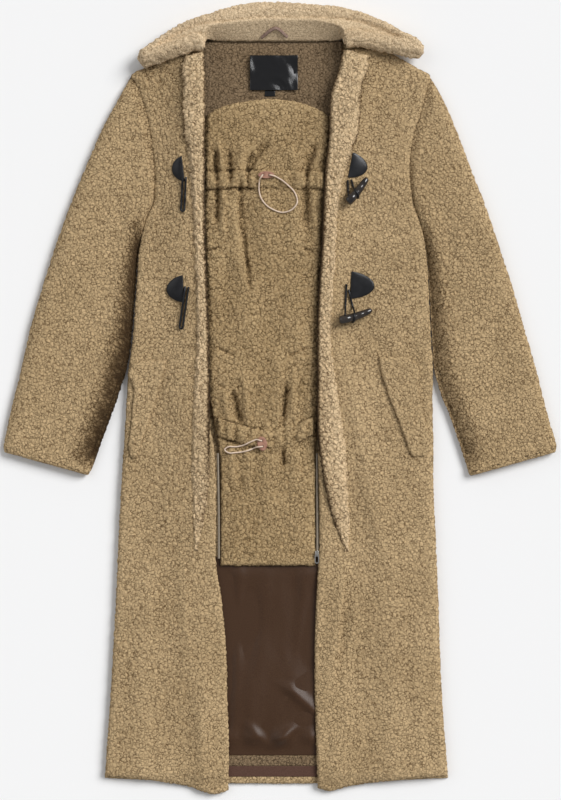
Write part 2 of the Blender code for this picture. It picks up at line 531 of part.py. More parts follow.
# ---------------------------------------------------------------- sleeves
def make_sleeve(side):
    """A flattened tube from the armhole to the open cuff, its first ring along the armhole's seam."""
    sleeve = LEFT_SLEEVE if side == "left" else RIGHT_SLEEVE
    sign = -1.0 if side == "left" else 1.0
    outer = np.stack([sleeve.outer_x, sleeve.outer_y], 1)
    inner = np.stack([sleeve.inner_x, sleeve.inner_y], 1)
    length = np.linalg.norm(outer - inner, axis=1)
    way = spread(length, ARM_STEPS, ARM_STEPS, 3)
    share = way / length[:, None]
    share[0] = ARM_WAY / ARM_WAY[-1]
    bow_rows = SHOULDER - share[0] * (SHOULDER - UNDERARM)
    seam = side_edge(side, bow_rows) + sign * ARMHOLE_GAP
    bow = seam - (outer[0, 0] + (inner[0, 0] - outer[0, 0]) * share[0])
    calm = np.clip(1 - np.arange(len(length)) / 7.0, 0, 1)[:, None] ** 2
    plan = outer[:, None, :] + (inner - outer)[:, None, :] * share[:, :, None]
    plan[:, :, 0] += bow * calm
    plan[0, :, 1] = bow_rows
    edge_way = np.minimum(way, way[:, ::-1])
    high = sleeve.high[:, None]
    middle = 0.46 * high
    top = middle + (high - middle) * rounded(edge_way, SLEEVE_ROUND_TOP)
    bottom = middle - middle * rounded(edge_way, SLEEVE_ROUND_BASE)
    outside = np.concatenate([stack(*np.moveaxis(plan, -1, 0), top),
                              stack(*np.moveaxis(plan, -1, 0), bottom)[:, -2:0:-1]], axis=1)
    # the inner side of the wall: drawn in at both edges, so that the hollow ends inside the folds
    inset = TEDDY + 1.0
    inner_share = (inset + (length[:, None] - 2 * inset) * share) / length[:, None]
    hollow = outer[:, None, :] + (inner - outer)[:, None, :] * inner_share[:, :, None]
    hollow[:, :, 0] += bow * calm
    hollow[0, :, 1] = np.interp(inner_share[0], share[0], bow_rows)
    hollow[0, :, 0] = np.interp(inner_share[0], share[0], seam) + sign * ARMHOLE_GAP
    inner_way = np.minimum(share, 1 - share) * (length[:, None] - 2 * inset)
    gap = high - 2 * TEDDY
    centre = TEDDY + gap * 0.5
    roof = centre + gap * 0.5 * rounded(inner_way, 8.0) + 0.02
    floor = centre - gap * 0.5 * rounded(inner_way, 8.0) - 0.02
    roof = np.minimum(roof, top - 0.6 * TEDDY)
    inside = np.concatenate([stack(*np.moveaxis(hollow, -1, 0), np.maximum(roof, centre)),
                             stack(*np.moveaxis(hollow, -1, 0), floor)[:, -2:0:-1]], axis=1)
    tube_wall("sleeve_" + side, outside, inside, "teddy")


# ---------------------------------------------------------------- insert
def channel_line(channel, share):
    """The middle of a channel across the insert: it sags from the sides to the middle."""
    return channel.side + (channel.middle - channel.side) * np.sin(np.pi * np.clip(share, 0, 1))


def gathers(x, y):
    """Ridges that leave a channel up and down and die out, all lower near the insert's sides."""
    total = np.zeros(np.broadcast(x, y).shape)
    for channel, x0, high, wide, up, down in zip(*vars(GATHERS).values()):
        away = y - channel
        reach = np.where(away > 0, up, down)
        total = total + high * np.exp(-((x - x0) / wide) ** 2) * np.exp(-(away / reach) ** 2)
    return total


def darts(x, y):
    """Shallow seams: a narrow trough along each dart's line."""
    total = np.zeros(np.broadcast(x, y).shape)
    for x0, y0, x1, y1 in zip(DARTS.x0, DARTS.y0, DARTS.x1, DARTS.y1):
        along = np.clip((x - x0) / (x1 - x0), 0, 1)
        off = np.hypot(x - (x0 + (x1 - x0) * along), y - (y0 + (y1 - y0) * along))
        total = total + 1.5 * np.exp(-((off / 4.0) ** 2))
    return total


def insert_sides(y):
    """The insert's left and right edge at y."""
    return smooth(INSERT.y, INSERT.left, y), smooth(INSERT.y, INSERT.right, y)


def insert_under(x, y):
    """The insert's underside: on the back, crowned in the middle, with its gathers, and calm at its sides."""
    left, right = insert_sides(np.minimum(y, INSERT.y[-1]))
    share = np.clip((x - left) / (right - left), 0, 1)
    calm = step(0.0, 0.16, share) * step(0.0, 0.16, 1 - share)
    return smooth(INSERT_BASE.y, INSERT_BASE.z, y) + calm * (gathers(x, y) + 1.5 * np.sin(np.pi * share))


def make_insert():
    """The nursing insert: rows of points up to its arched top edge, which the last rows close in on."""
    low, top = INSERT.y[0], INSERT.y[-1]
    rows = low + spread(top - low, EDGE_STEPS, NO_STEPS, 19)[0]
    to_arch = np.array([0.4, 0.7, 0.9, 1.0])
    rows = np.concatenate([rows[:-1], np.full(len(to_arch), top)])
    left, right = insert_sides(rows)
    way = spread(right - left, EDGE_STEPS, EDGE_STEPS, 12)
    x = left[:, None] + way
    y = np.repeat(rows[:, None], x.shape[1], axis=1)
    arch = smooth(INSERT_TOP.x, INSERT_TOP.y, x[-1])
    base = y[-len(to_arch) - 1]
    y[-len(to_arch):] = base + (arch - base) * to_arch[:, None]
    to_side = np.minimum(way, way[:, ::-1])
    to_end = np.minimum(y - y[:1], y[-1:] - y)
    under = insert_under(x, y)
    thick = TEDDY * (0.35 + 0.65 * rounded(to_side, TEDDY) * rounded(to_end, TEDDY))
    over = under + thick - darts(x, y) * step(0, 8, to_side)
    return wall("insert", stack(x, y, under), stack(x, y, over), "teddy")


def make_channel(name, carrier):
    """A tunnel for a draw cord: a puckered band laid on the insert from side to side."""
    channel = CHANNELS[name]
    half = channel.width / 2
    across = half * np.array([-1.0, -0.7, 0.0, 0.7, 1.0])
    bulge = np.array([0.0, 0.75, 1.0, 0.75, 0.0])
    left, right = insert_sides(np.array([channel.side]))
    share = np.linspace(0.035, 0.965, 2 * PUCKERS + 1)
    x = left + (right - left) * share
    y = channel_line(channel, share)[:, None] + across
    x = np.repeat(x[:, None], len(across), axis=1)
    pucker = 1.1 * (1 + np.cos(np.pi * np.arange(len(share))))[:, None] * bulge
    ground = height([carrier], x, y, 4.5) + REST_GAP
    over = ground + 1.4 + 2.0 * bulge + pucker
    return wall("channel_" + name, stack(x, y, ground), stack(x, y, over), "teddy")


# ---------------------------------------------------------------- collar
def make_collar():
    """Stand and fall as one rounded form: rows run round the neck, columns from the inner to the outer edge."""
    rows = len(COLLAR.down)
    at = np.concatenate([[0, 0.15, 0.5], np.linspace(1, rows - 2, 19), [rows - 1.5, rows - 1.15, rows - 1]])
    column = {key: smooth(np.arange(rows), value, at) for key, value in vars(COLLAR).items()}
    inner = np.stack([column["inner_x"], column["inner_y"]], 1)[:, None]
    roll = np.stack([column["roll_x"], column["roll_y"]], 1)[:, None]
    edge = np.stack([column["edge_x"], column["edge_y"]], 1)[:, None]
    stand = np.array([0.0, 0.35, 0.75])[None, :, None]
    fall = np.array([0.0, 0.2, 0.5, 0.78, 0.91, 0.975, 1.0])[None, :, None]
    plan = np.concatenate([inner + (roll - inner) * stand, roll + (edge - roll) * fall], axis=1)
    x, y = plan[..., 0], plan[..., 1]
    side_x = np.where(x < 0, front_over("left", x, y), front_over("right", x, y))
    down = np.clip(column["down"], 0, 1)[:, None]
    bottom = (side_x + 1.6) * (1 - down)
    # heights: up the stand to the roll, then down the fall to the edge
    foot = np.maximum(bottom[:, :1] + 5.0, COLLAR_FOOT * down + COLLAR_FOOT_WING * (1 - down))
    roll_z, edge_z = column["roll_z"][:, None], column["edge_z"][:, None]
    up = np.sin(np.pi / 2 * stand[..., 0])
    away = fall[..., 0]
    top = np.concatenate([foot + (roll_z - foot) * up, roll_z + (edge_z - roll_z) * away ** 1.3], axis=1)
    to_edge = np.linalg.norm(edge - plan, axis=2)
    to_end = np.minimum(np.arange(len(at)), np.arange(len(at))[::-1])[:, None]
    end_round = COLLAR_ENDS[np.minimum(to_end, len(COLLAR_ENDS) - 1)]
    over = bottom + (top - bottom) * (0.35 + 0.65 * rounded(to_edge, COLLAR_EDGE_ROUND)) * end_round
    return wall("collar", stack(x, y, bottom), stack(x, y, over), "teddy")


def make_hanger(carrier):
    """A narrow tape, sewn in at the neck seam and standing against the collar."""
    route = np.stack([HANGER.x, HANGER.y], 1)
    way = np.arange(len(route))
    at = np.linspace(0, len(route) - 1, 19)
    line = np.stack([smooth(way, route[:, k], at) for k in range(2)], 1)
    heading = np.gradient(line, axis=0)
    normal = np.stack([-heading[:, 1], heading[:, 0]], 1) / np.linalg.norm(heading, axis=1)[:, None]
    offsets = HANGER_WIDE * np.array([-0.5, 0.0, 0.5])
    plan = line[:, None] + normal[:, None] * offsets[None, :, None]
    ground = height([carrier], plan[..., 0], plan[..., 1], 1.6) + REST_GAP
    ground = np.repeat(ground.max(axis=1, keepdims=True), len(offsets), axis=1)
    under = stack(plan[..., 0], plan[..., 1], ground)
    wall("hanger_loop", under, under + [0, 0, HANGER_THICK], "tape")


# ---------------------------------------------------------------- flat pieces
def make_flat(name, box, under, thick, finish_name, rows, columns, relief=None):
    """A rectangle of cloth at one height, with an optional relief as a function of x and y."""
    x = np.linspace(box.left, box.right, columns)[None, :]
    y = np.linspace(box.low, box.high, rows)[:, None]
    rise = np.zeros((rows, columns)) if relief is None else relief(x, y)
    wall(name, stack(x, y, under + rise), stack(x, y, under + thick + rise), finish_name)


def lining_relief(x, y):
    """Soft folds of the lining, flat along its edges."""
    to_side = np.minimum(x - LINING.left, LINING.right - x)
    inside = np.minimum(to_side, np.minimum(y - LINING.low, LINING.high - y))
    return ridges(LINING_FOLDS, x, y) * step(30, 44, inside)


def make_pocket(side, carrier):
    """A slanting welt: a strip on the front, raised from the front's own surface."""
    welt = POCKETS[side]
    rows = np.linspace(welt.y[-1], welt.y[0], 10)
    order = np.argsort(welt.y)
    inner = smooth(welt.y[order], welt.inner[order], rows)
    outer = smooth(welt.y[order], welt.outer[order], rows)
    way = spread(np.abs(outer - inner), WELT_STEPS, WELT_STEPS, 1)
    x = inner[:, None] + np.sign(outer - inner)[:, None] * way
    to_side = np.minimum(way, way[:, ::-1])
    to_end = np.minimum(rows - rows[0], rows[-1] - rows)[:, None]
    y = np.repeat(rows[:, None], x.shape[1], axis=1)
    ground = height([carrier], x, y, 4.0) + REST_GAP
    over = ground + 1.6 + 3.0 * rounded(to_side, 5.0) * rounded(to_end + 1.5, 6.0)
    wall("pocket_" + side, stack(x, y, ground), stack(x, y, over), "teddy")


# ---------------------------------------------------------------- toggles
def make_patch(name, carriers):
    """A leather patch: a straight side where the cords leave it, and a rounded point away from the opening."""
    patch = PATCHES[name]
    reach = np.maximum(1 - np.abs(PATCH_ROWS) ** 1.7, 0.06)
    share = np.array([0.0, 0.35, 0.75, 1.0])
    local_x = patch.reach * reach[:, None] * share
    local_y = patch.half * PATCH_ROWS[:, None] * np.ones_like(share)
    tilt = np.radians(patch.tilt)
    x = patch.x + local_x * np.cos(tilt) - local_y * np.sin(tilt)
    y = patch.y + local_x * np.sin(tilt) + local_y * np.cos(tilt)
    ground = height(carriers, x, y, 3.0) + REST_GAP
    return wall("patch_" + name, stack(x, y, ground), stack(x, y, ground + PATCH_THICK), "leather_black")


def toggle_axis(name, carriers):
    """Points along a horn toggle's middle line, lying on the cords that wrap it."""
    toggle = TOGGLES[name]
    thick, tip = np.array(toggle.thick), np.array(toggle.tip)
    share = HORN.share[:, None]
    plan = thick + (tip - thick) * share
    plan = plan + np.array([0.0, -HORN_SAG]) * (4 * share * (1 - share))
    ground = height(carriers, plan[:, 0], plan[:, 1], 6.0)
    slope = np.polyfit(HORN.share, ground, 1)
    line = np.polyval(slope, HORN.share)
    line = line + max(0.0, (ground - line).max())
    return np.concatenate([plan, (line + CORD + 2.0 + HORN.radius.max())[:, None]], axis=1)


def make_toggle(name, carriers):
    """A horn: a turned piece along its bowed middle line, thick and round at one end, tapering to the other."""
    axis = toggle_axis(name, carriers)
    tube("toggle_" + name, axis, HORN.radius.max(), "horn", radii=HORN.radius, sides=3)


def make_toggle_cord(name, cloth, carriers):
    """One cord from the patch round the toggle and back: a strand down, a turn round the horn, a strand up."""
    axis = toggle_axis(name, cloth)
    heading = axis[-1] - axis[0]
    along = heading / np.linalg.norm(heading)
    near = np.array([-along[1], along[0], 0.0])
    near /= np.linalg.norm(near)
    rise = np.cross(along, near)
    rise = rise if rise[2] > 0 else -rise
    first, last, from_angle, to_angle = CORD_TURN
    around = np.radians(np.linspace(from_angle, to_angle, 12))
    turn_radius = HORN.radius.max() + 1.0 + CORD / 2
    shares = np.linspace(first, last, len(around))
    centre = axis[0] + heading * shares[:, None]
    centre[:, :2] += np.array([0.0, -HORN_SAG]) * (4 * shares * (1 - shares))[:, None]
    turn = centre + turn_radius * (np.sin(around)[:, None] * rise + np.cos(around)[:, None] * near)
    strands = []
    for start, end in zip(np.array(CORD_STARTS[name]), (turn[0], turn[-1])):
        plan = start + (end[:2] - start) * np.array([0.0, 0.2, 0.45, 0.7])[:, None]
        ground = height(carriers, plan[:, 0], plan[:, 1], 2.5) + CORD / 2 + 0.4
        strands.append(np.concatenate([plan, ground[:, None]], axis=1))
    route = np.concatenate([strands[0], turn, strands[1][::-1]])
    tube("toggle_cord_" + name, route_points(route, 5.4), CORD / 2, "leather_black")


def make_loop(name, carriers):
    """A loop of cord for a toggle: two strands side by side down from the patch, and a round end."""
    start, end = LOOPS[name]
    start, end = np.array(start), np.array(end)
    along = (end - start) / np.linalg.norm(end - start)
    aside = np.array([-along[1], along[0]])
    strand = np.linspace(0, 1, 5)[:, None]
    bend = np.radians(np.linspace(0, 180, 7))[1:-1, None]
    plan = np.concatenate([
        start + aside * LOOP_HALF + (end - start) * strand,
        end + LOOP_HALF * (np.cos(bend) * aside + np.sin(bend) * along),
        (start - aside * LOOP_HALF + (end - start) * strand)[::-1],
    ])
    tube("loop_" + name, lay(plan, 5.6, CORD / 2, carriers), CORD / 2, "leather_black")


# ---------------------------------------------------------------- draw cords
def make_stop(name, carriers):
    """A cord stop: a flat oval button that holds both ends of the elastic."""
    stop = STOPS[name]
    span = stop.long * np.linspace(-0.5, 0.5, 13)
    ground = height(carriers, stop.x + span[:, None], stop.y + span, 2.0).max() + REST_GAP
    work = bmesh.new()
    bmesh.ops.create_cone(work, cap_ends=True, segments=16, radius1=0.5, radius2=0.5, depth=1.0)
    bmesh.ops.scale(work, vec=(stop.long * MM, stop.wide * MM, STOP_HIGH * MM), verts=work.verts)
    bmesh.ops.bevel(work, geom=[e for e in work.edges if abs(e.verts[0].co.z - e.verts[1].co.z) < 1e-6],
                    offset=STOP_ROUND * MM, segments=1, profile=0.5, affect="EDGES")
    mesh = bpy.data.meshes.new("stop_" + name)
    work.to_mesh(mesh)
    work.free()
    mesh.shade_smooth()
    piece = add_object("stop_" + name, mesh, "stop_leather")
    piece.location = (stop.x * MM, stop.y * MM, (ground + STOP_HIGH / 2) * MM)
    piece.rotation_euler = (0, 0, np.radians(stop.turn))
    return piece


def lay(plan, pitch, radius, carriers):
    """A cord's way laid on its carriers: points every pitch millimetres, each clear of what is near it."""
    plan = route_points(plan, pitch)
    ground = height(carriers, plan[:, 0], plan[:, 1], radius + 1.2)
    clear = np.maximum(ground, np.maximum(np.roll(ground, 1), np.roll(ground, -1)))
    clear[[0, -1]] = ground[[0, -1]]
    return np.concatenate([plan, (clear + radius + REST_GAP)[:, None]], axis=1)


def make_draw_cord(name, carriers, stop):
    """A loop of elastic on the insert: both ends come out of the stop's top and bend down to the cloth."""
    plan = np.stack([DRAW_CORDS[name].x, DRAW_CORDS[name].y], 1)
    route = lay(plan, 5.0, ELASTIC / 2, carriers)
    top = stop.location.z / MM + STOP_HIGH / 2
    spec = STOPS[name]
    turn = np.radians(spec.turn)
    axis = np.array([np.cos(turn), np.sin(turn)]) * spec.long * STOP_HOLES
    holes = np.array([[spec.x, spec.y] - axis, [spec.x, spec.y] + axis])
    if name == "lower":
        holes = holes[::-1]
    ends = []
    for hole, mouth in zip(holes, (route[0], route[-1])):
        lean = mouth[:2] - hole
        ends.append(np.array([[*hole, top + 0.7], [*(hole + lean * 0.02), top + 2.4],
                              [*(hole + lean * 0.2), top + 4.8], [*(hole + lean * 0.6), top + 5.4],
                              [*(hole + lean * 0.95), top + 3.2]]))
    route = np.concatenate([ends[0], route[1:-1], ends[1][::-1]])
    tube("draw_cord_" + name, route_points(route, 5.6), ELASTIC / 2, "elastic")


# ---------------------------------------------------------------- zips
def make_zip(side):
    """The closed zip between the insert and the front's edge: a narrow raised strip."""
    line = ZIPS[side]
    y = np.linspace(line.y[0], line.y[-1], 9)[:, None]
    x = smooth(line.y, line.x, y) + ZIP_WIDE * np.array([-0.5, -0.25, 0.25, 0.5])
    under = insert_under(smooth(line.y, line.x, y), y) + TEDDY - ZIP_SINK
    over = under + ZIP_THICK * np.array([0.6, 1.0, 1.0, 0.6])
    wall("zip_" + side, stack(x, y, under), stack(x, y, over), "zip_tape")


def box_mesh(name, size, centre, bevel=0.0):
    """A box as a mesh, its edges rounded where a bevel is given."""
    work = bmesh.new()
    bmesh.ops.create_cube(work, size=1.0)
    bmesh.ops.scale(work, vec=[side * MM for side in size], verts=work.verts)
    bmesh.ops.translate(work, vec=[place * MM for place in centre], verts=work.verts)
    if bevel:
        bmesh.ops.bevel(work, geom=list(work.edges), offset=bevel * MM, segments=2, profile=0.5, affect="EDGES")
    mesh = bpy.data.meshes.new(name)
    work.to_mesh(mesh)
    work.free()
    return mesh


def combine(body, operation, name, size, centre):
    """Join a box to a body, or cut it out of it, with a helper that isn't part of the coat."""
    helper = bpy.data.objects.new(name, box_mesh(name, size, centre))
    cutters.objects.link(helper)
    helper.hide_render = True
    helper.display_type = "WIRE"
    modifier = body.modifiers.new(name, "BOOLEAN")
    modifier.operation = operation
    modifier.object = helper


def make_slider(carriers):
    """The zip's slider: a rounded body with a bridge on top, whose eye holds the pull. Gives its body's top."""
    span = np.linspace(-0.6, 0.6, 5)
    x, y = SLIDER.x + SLIDER.wide * span[:, None], SLIDER.y + SLIDER.long * span
    base = height(carriers, x, y).max() + REST_GAP
    top = base + SLIDER.high
    mesh = box_mesh("zip_slider", (SLIDER.wide, SLIDER.long, SLIDER.high),
                    (SLIDER.x, SLIDER.y, base + SLIDER.high / 2), bevel=0.8)
    body = add_object("zip_slider", mesh, "zip_metal")
    root = 1.0  # how deep the bridge is let into the body
    combine(body, "UNION", "bridge", (BRIDGE.wide, BRIDGE.long, BRIDGE.high + root),
            (SLIDER.x, BRIDGE.y, top + (BRIDGE.high - root) / 2))
    eye = BRIDGE_EYE
    combine(body, "DIFFERENCE", "bridge_eye", (eye.wide, eye.long, eye.high - eye.low),
            (SLIDER.x, BRIDGE.y, top + (eye.high + eye.low) / 2))
    return top


def stadium(outline):
    """Points round a slot: half circles at its upper and lower end, joined by straight sides."""
    turns = np.linspace(0, 2 * np.pi, PULL_SIDES, endpoint=False) + np.pi / PULL_SIDES
    x, y = outline.half * np.cos(turns), outline.half * np.sin(turns)
    centre = np.where(y > 0, outline.top - outline.half, outline.low + outline.half)
    return np.stack([x, y + centre], axis=1)


def make_pull(slider_top):
    """The pull: a long ring through the bridge's eye, its origin on the hinge, leaning on the slider."""
    outer, inner = stadium(PULL_OUTER), stadium(PULL_INNER)
    half = PULL_THICK / 2
    rings = [(outer, -half), (outer, half), (inner, half), (inner, -half)]
    points = np.concatenate([stack(ring[:, 0], ring[:, 1], z) for ring, z in rings])
    index = np.arange(len(rings) * PULL_SIDES).reshape(len(rings), PULL_SIDES)
    following = np.roll(index, -1, axis=0)
    faces = quads(index, np.roll(index, -1, axis=1), np.roll(following, -1, axis=1), following)
    pull = add_mesh("zip_pull", points, faces, "zip_metal")
    pull.location = (SLIDER.x * MM, BRIDGE.y * MM, (slider_top + HINGE_RISE) * MM)
    pull.rotation_euler = (np.radians(PULL_TILT), 0, 0)


# ---------------------------------------------------------------- assembly
def make_coat():
    """All the pieces, each after what carries it."""
    base = BACK_TOP + REST_GAP
    make_back()
    make_flat("neck_facing", NECK_FACING, base, TEDDY_THIN, "teddy", 5, 5)
    make_flat("lining", LINING, base, SATIN, "satin_lining", 13, 10, lining_relief)
    make_flat("hem_band", HEM_BAND, base, HEM_BAND_THICK, "teddy", 3, 9)
    make_flat("hem_tape", HEM_TAPE, base, HEM_TAPE_THICK, "tape", 3, 9)
    insert = make_insert()
    channels = {name: make_channel(name, insert) for name in CHANNELS}
    fronts = {side: make_front(side) for side in SIDES}
    for side, front in fronts.items():
        make_strip(side)
        make_zip(side)
        make_sleeve(side)
        make_pocket(side, front)
    make_hanger(make_collar())
    label_base = base + TEDDY_THIN + REST_GAP
    make_flat("label", LABEL, label_base, LABEL.thick, "satin_black", 2, 2)
    make_flat("size_tab", TAB, label_base, TAB.thick, "satin_black", 2, 2)
    for name in CHANNELS:
        left_patch = make_patch(name + "_left", [fronts["left"]])
        right_patch = make_patch(name + "_right", [fronts["right"]])
        make_loop(name, [fronts["left"], left_patch])
        make_toggle(name, [fronts["right"]])
        make_toggle_cord(name, [fronts["right"]], [fronts["right"], right_patch])
        cloth = [insert, channels[name]]
        make_draw_cord(name, cloth, make_stop(name, cloth))
    make_pull(make_slider([insert, fronts["right"], bpy.data.objects["zip_right"]]))


for old in list(bpy.data.objects):
    bpy.data.objects.remove(old)
coat = bpy.data.collections.new("maternity_coat")
cutters = bpy.data.collections.new("cutters")
bpy.context.scene.collection.children.link(coat)
bpy.context.scene.collection.children.link(cutters)
make_coat()
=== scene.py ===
"""Looks of a long curly-pile maternity coat that lies open on its back, seen from straight above.

x runs to the right as one looks down on the coat, y from the hem to the collar and z up, off the surface.
"Left" and "right" are the looker's. Tables and sizes are in millimetres, and meshes in metres. Every cloth
piece is a grid of points: rows run up the coat, columns across it, and the outermost ones turn round the edge.
"""

from itertools import product
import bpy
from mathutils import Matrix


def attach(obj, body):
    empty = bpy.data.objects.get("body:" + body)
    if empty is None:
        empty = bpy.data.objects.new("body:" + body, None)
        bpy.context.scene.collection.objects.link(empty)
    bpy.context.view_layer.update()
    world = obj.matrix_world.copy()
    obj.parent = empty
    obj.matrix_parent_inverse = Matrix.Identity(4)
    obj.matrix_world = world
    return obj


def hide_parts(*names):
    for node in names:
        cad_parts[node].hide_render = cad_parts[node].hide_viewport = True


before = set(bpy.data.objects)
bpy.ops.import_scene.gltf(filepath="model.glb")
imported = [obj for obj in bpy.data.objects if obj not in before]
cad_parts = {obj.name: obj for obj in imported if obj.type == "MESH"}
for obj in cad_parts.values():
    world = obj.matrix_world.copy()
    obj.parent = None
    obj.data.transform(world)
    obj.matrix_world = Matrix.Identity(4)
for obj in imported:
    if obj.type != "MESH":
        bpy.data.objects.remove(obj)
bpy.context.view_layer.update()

from types import SimpleNamespace

import bpy
import numpy as np
from mathutils import Vector
from mathutils.bvhtree import BVHTree

MM = 0.001
SIDES = ("left", "right")
BODY_NAME = "coat"


def table(columns, *rows):
    """Rows of numbers, read as one array for each named column."""
    return SimpleNamespace(**dict(zip(columns.split(), np.array(rows, float).T)))


# ---------------------------------------------------------------- sizes of the coat


TEDDY = 7.0  # curly cloth with its pile
SEAM_GAP = 0.5
REST_GAP = 0.35
BACK_TOP = TEDDY
FRONT_BASE = BACK_TOP + SEAM_GAP
CORD, LAY_SMOOTHINGS = 3.2, 3  # leather cord of the toggles, and how often a laid cord's hollows are filled
ELASTIC = 2.2  # round elastic of the draw cords
# Body, from hem to neck: the side edge up to y 300, then the armhole up to 499, then the shoulder.
BODY = table(
    "y left right",
    (-584, -271, 260), (-500, -265, 253), (-406, -259, 248), (-313, -254, 245), (-220, -250, 241),
    (-127, -245, 237), (-65, -241, 237), (0, -237, 236), (50, -234, 236.5), (86, -229, 234),
    (130, -225, 232), (174, -222, 229.5), (227, -218, 226), (255, -212.5, 221), (280, -207, 214.5),
    (300, -197, 208), (320, -195, 204.5), (340, -194, 202), (360, -195, 201.5), (380, -197, 203),
    (400, -199.5, 206), (420, -203, 211.5), (442, -208, 219), (465, -214.5, 225), (490, -225, 230),
    (499, -231, 232), (512, -209, 210), (525, -187, 187), (538, -164, 163), (553, -139, 136),
)
NECK = 553.1
BACK_HEM, FRONT_HEM, FRONT_TOP = -588.0, -584.0, 540.0
HEM_EASE = 100.0  # the hems' bows fade out this far up
BACK_BOW = 9.0  # how far the back's hem hangs lower in the middle
# How far each front's hem lies below its side's, from the side seam to the front edge.
HEM_DROP = {
    "left": table("share y", (0, 0), (0.35, -7), (0.65, -16), (0.92, -28), (1, -23)),
    "right": table("share y", (0, 0), (0.25, -4), (0.5, -9), (0.75, -16), (0.94, -23), (1, -19)),
}

# Front opening: where the fronts' edges lie, and the edges of the strips turned back on them.
FRONT_EDGES = {"left": table(
    "y edge", (-613, -82), (-561, -79), (-468, -81), (-390, -83), (-313, -90), (-255, -98.6), (-185, -98.5),
    (-120, -99.5), (-80, -101.5), (-45, -108), (-10, -115), (22, -115.5), (96, -117), (171, -119.5),
    (230, -122), (350, -123), (450, -122.5), (553, -124),
), "right": table(
    "y edge", (-613, 60), (-530, 56), (-452, 54), (-390, 54), (-350, 55), (-280, 58), (-232, 60.5),
    (-120, 60), (-85, 59.5), (-45, 62), (-10, 64.5), (22, 64.5), (96, 64.5), (171, 67.5), (230, 71.5),
    (304, 74.5), (354, 77.5), (403, 83.5), (450, 89), (499, 96), (553, 110),
)}
STRIPS = {"left": table(
    "y outer fold", (-235, -132, -129), (-215, -137, -123), (-180, -141, -116), (-140, -144, -110),
    (-96, -146, -108.5), (-35, -143.5, -108), (28, -138, -108), (96, -133.5, -109.5), (171, -135, -112),
    (230, -136, -114.5), (304, -140, -115), (354, -142, -115.5), (403, -146, -115.5), (450, -150, -115),
    (535, -150, -116.5),
), "right": table(
    "y outer fold", (-236, 106, 103), (-215, 112, 93), (-180, 114, 80), (-130, 113, 68), (-85, 111, 61),
    (-35, 105, 57), (5, 97, 57), (60, 87, 57), (96, 83.5, 57), (171, 88, 60), (230, 92, 64), (304, 96, 67),
    (354, 104, 70), (403, 117, 76), (478, 126, 81), (499, 131, 88.5), (538, 138.5, 97.5),
)}
STRIP_SLOPE = 0.26  # fall of the strip's upper end towards its outer edge, along the collar's end
WRAP_FULL, WRAP_NONE = 22.0, -8.0  # between these heights the strip stops wrapping the front's edge

# Nursing insert: its side edges, its arched top edge, and how high the layers under it carry it.
INSERT = table(
    "y left right", (-259, -92, 55), (-180, -92, 55), (-85, -93.5, 55.2), (-57, -98, 56), (-30, -104, 58.5),
    (0, -109, 60.5), (22, -111, 61), (96, -114, 62), (171, -117, 64.5), (230, -120, 69), (304, -121, 72),
    (354, -120, 75), (400, -119, 79), (433, -118, 81),
)
INSERT_TOP = table(
    "x y", (-118, 431), (-108, 441), (-90, 450), (-46, 460), (8, 461), (46, 452), (70, 440), (81, 432)
)
INSERT_BASE = table("y z", (-260, 8.9), (200, 8.9), (300, 10.2), (400, 13.4), (465, 13.4))
FRONT_LIFT = table(
    "y z", (-613, 2.0), (-400, 2.2), (-300, 2.8), (-240, 4.4), (-150, 7.0), (-70, 9.3), (200, 9.3),
    (300, 11.0), (400, 14.0), (553, 14.0),
)
LIFT_FLAT, LIFT_REACH = 8.0, 72.0  # the front is level for this far from its edge, then comes down

# Draw-cord channels across the insert: the middle line's height at the sides and the middle, and the width.
CHANNELS = {
    "upper": SimpleNamespace(side=337.0, middle=338.5, width=29.0),
    "lower": SimpleNamespace(side=-43.0, middle=-62.0, width=31.0),
}
# Darts of the insert, shallow seams: the ends of each, left to right.
DARTS = table("x0 y0 x1 y1", (-112, 228, -94, 233), (38, 231, 52, 226), (-95, 77, -73, 67), (16, 67, 39, 77))

# Soft folds of the fronts: the ridge's upper and lower end, its width and its height.
FOLDS = table(
    "x0 y0 x1 y1 wide high",
    (-160, 60, -172, -200, 20, 3.4), (-150, -190, -125, -480, 24, 3.0), (-205, -230, -214, -600, 22, 3.4),
    (-120, -420, -118, -612, 16, 3.2), (112, 30, 150, -200, 20, 3.6), (104, -236, 72, -470, 12, 3.4),
    (168, -220, 176, -600, 26, 3.8), (216, -260, 222, -600, 16, 2.2), (100, -420, 98, -600, 18, 2.4),
    (-165, 430, -170, 180, 22, 2.2), (165, 430, 150, 180, 22, 2.2),
)

# Sleeves, from armhole to cuff: the outer and the inner edge, and the height of the flattened tube.
SLEEVES = {"left": table(
    "outer_x outer_y inner_x inner_y high",
    (-231.5, 499, -198.4, 299, 15.6), (-253, 459, -208.7, 278, 16.8), (-275, 417, -214.8, 250, 17.5),
    (-297, 367, -219.5, 225, 17.6), (-320, 310, -223.2, 185, 17.6), (-343, 248, -226.3, 135, 17.6),
    (-365, 180, -231, 84, 17.6), (-387, 105, -236.8, 48, 17.6), (-400, 46, -248, 10, 17.5),
    (-414, -10, -263, -33, 17.3), (-423, -50, -280, -78, 17.0), (-427, -70, -289, -103, 16.6),
    (-427.5, -77, -294, -114, 15.6),
), "right": table(
    "outer_x outer_y inner_x inner_y high",
    (232.5, 499, 209.4, 299, 15.6), (255, 458, 216.7, 277, 16.8), (276, 408, 223, 252, 17.5),
    (295, 357, 227.4, 222, 17.6), (316, 303, 230.4, 185, 17.6), (338, 238, 233.2, 135, 17.6),
    (359, 174, 235.6, 84, 17.6), (381, 98, 239.4, 42, 17.6), (397, 42, 250, 4, 17.5),
    (412, -18, 265, -33, 17.3), (422, -52, 279, -75, 17.0), (427, -70, 288, -103, 16.6),
    (427.5, -77, 292, -115, 15.6),
)}

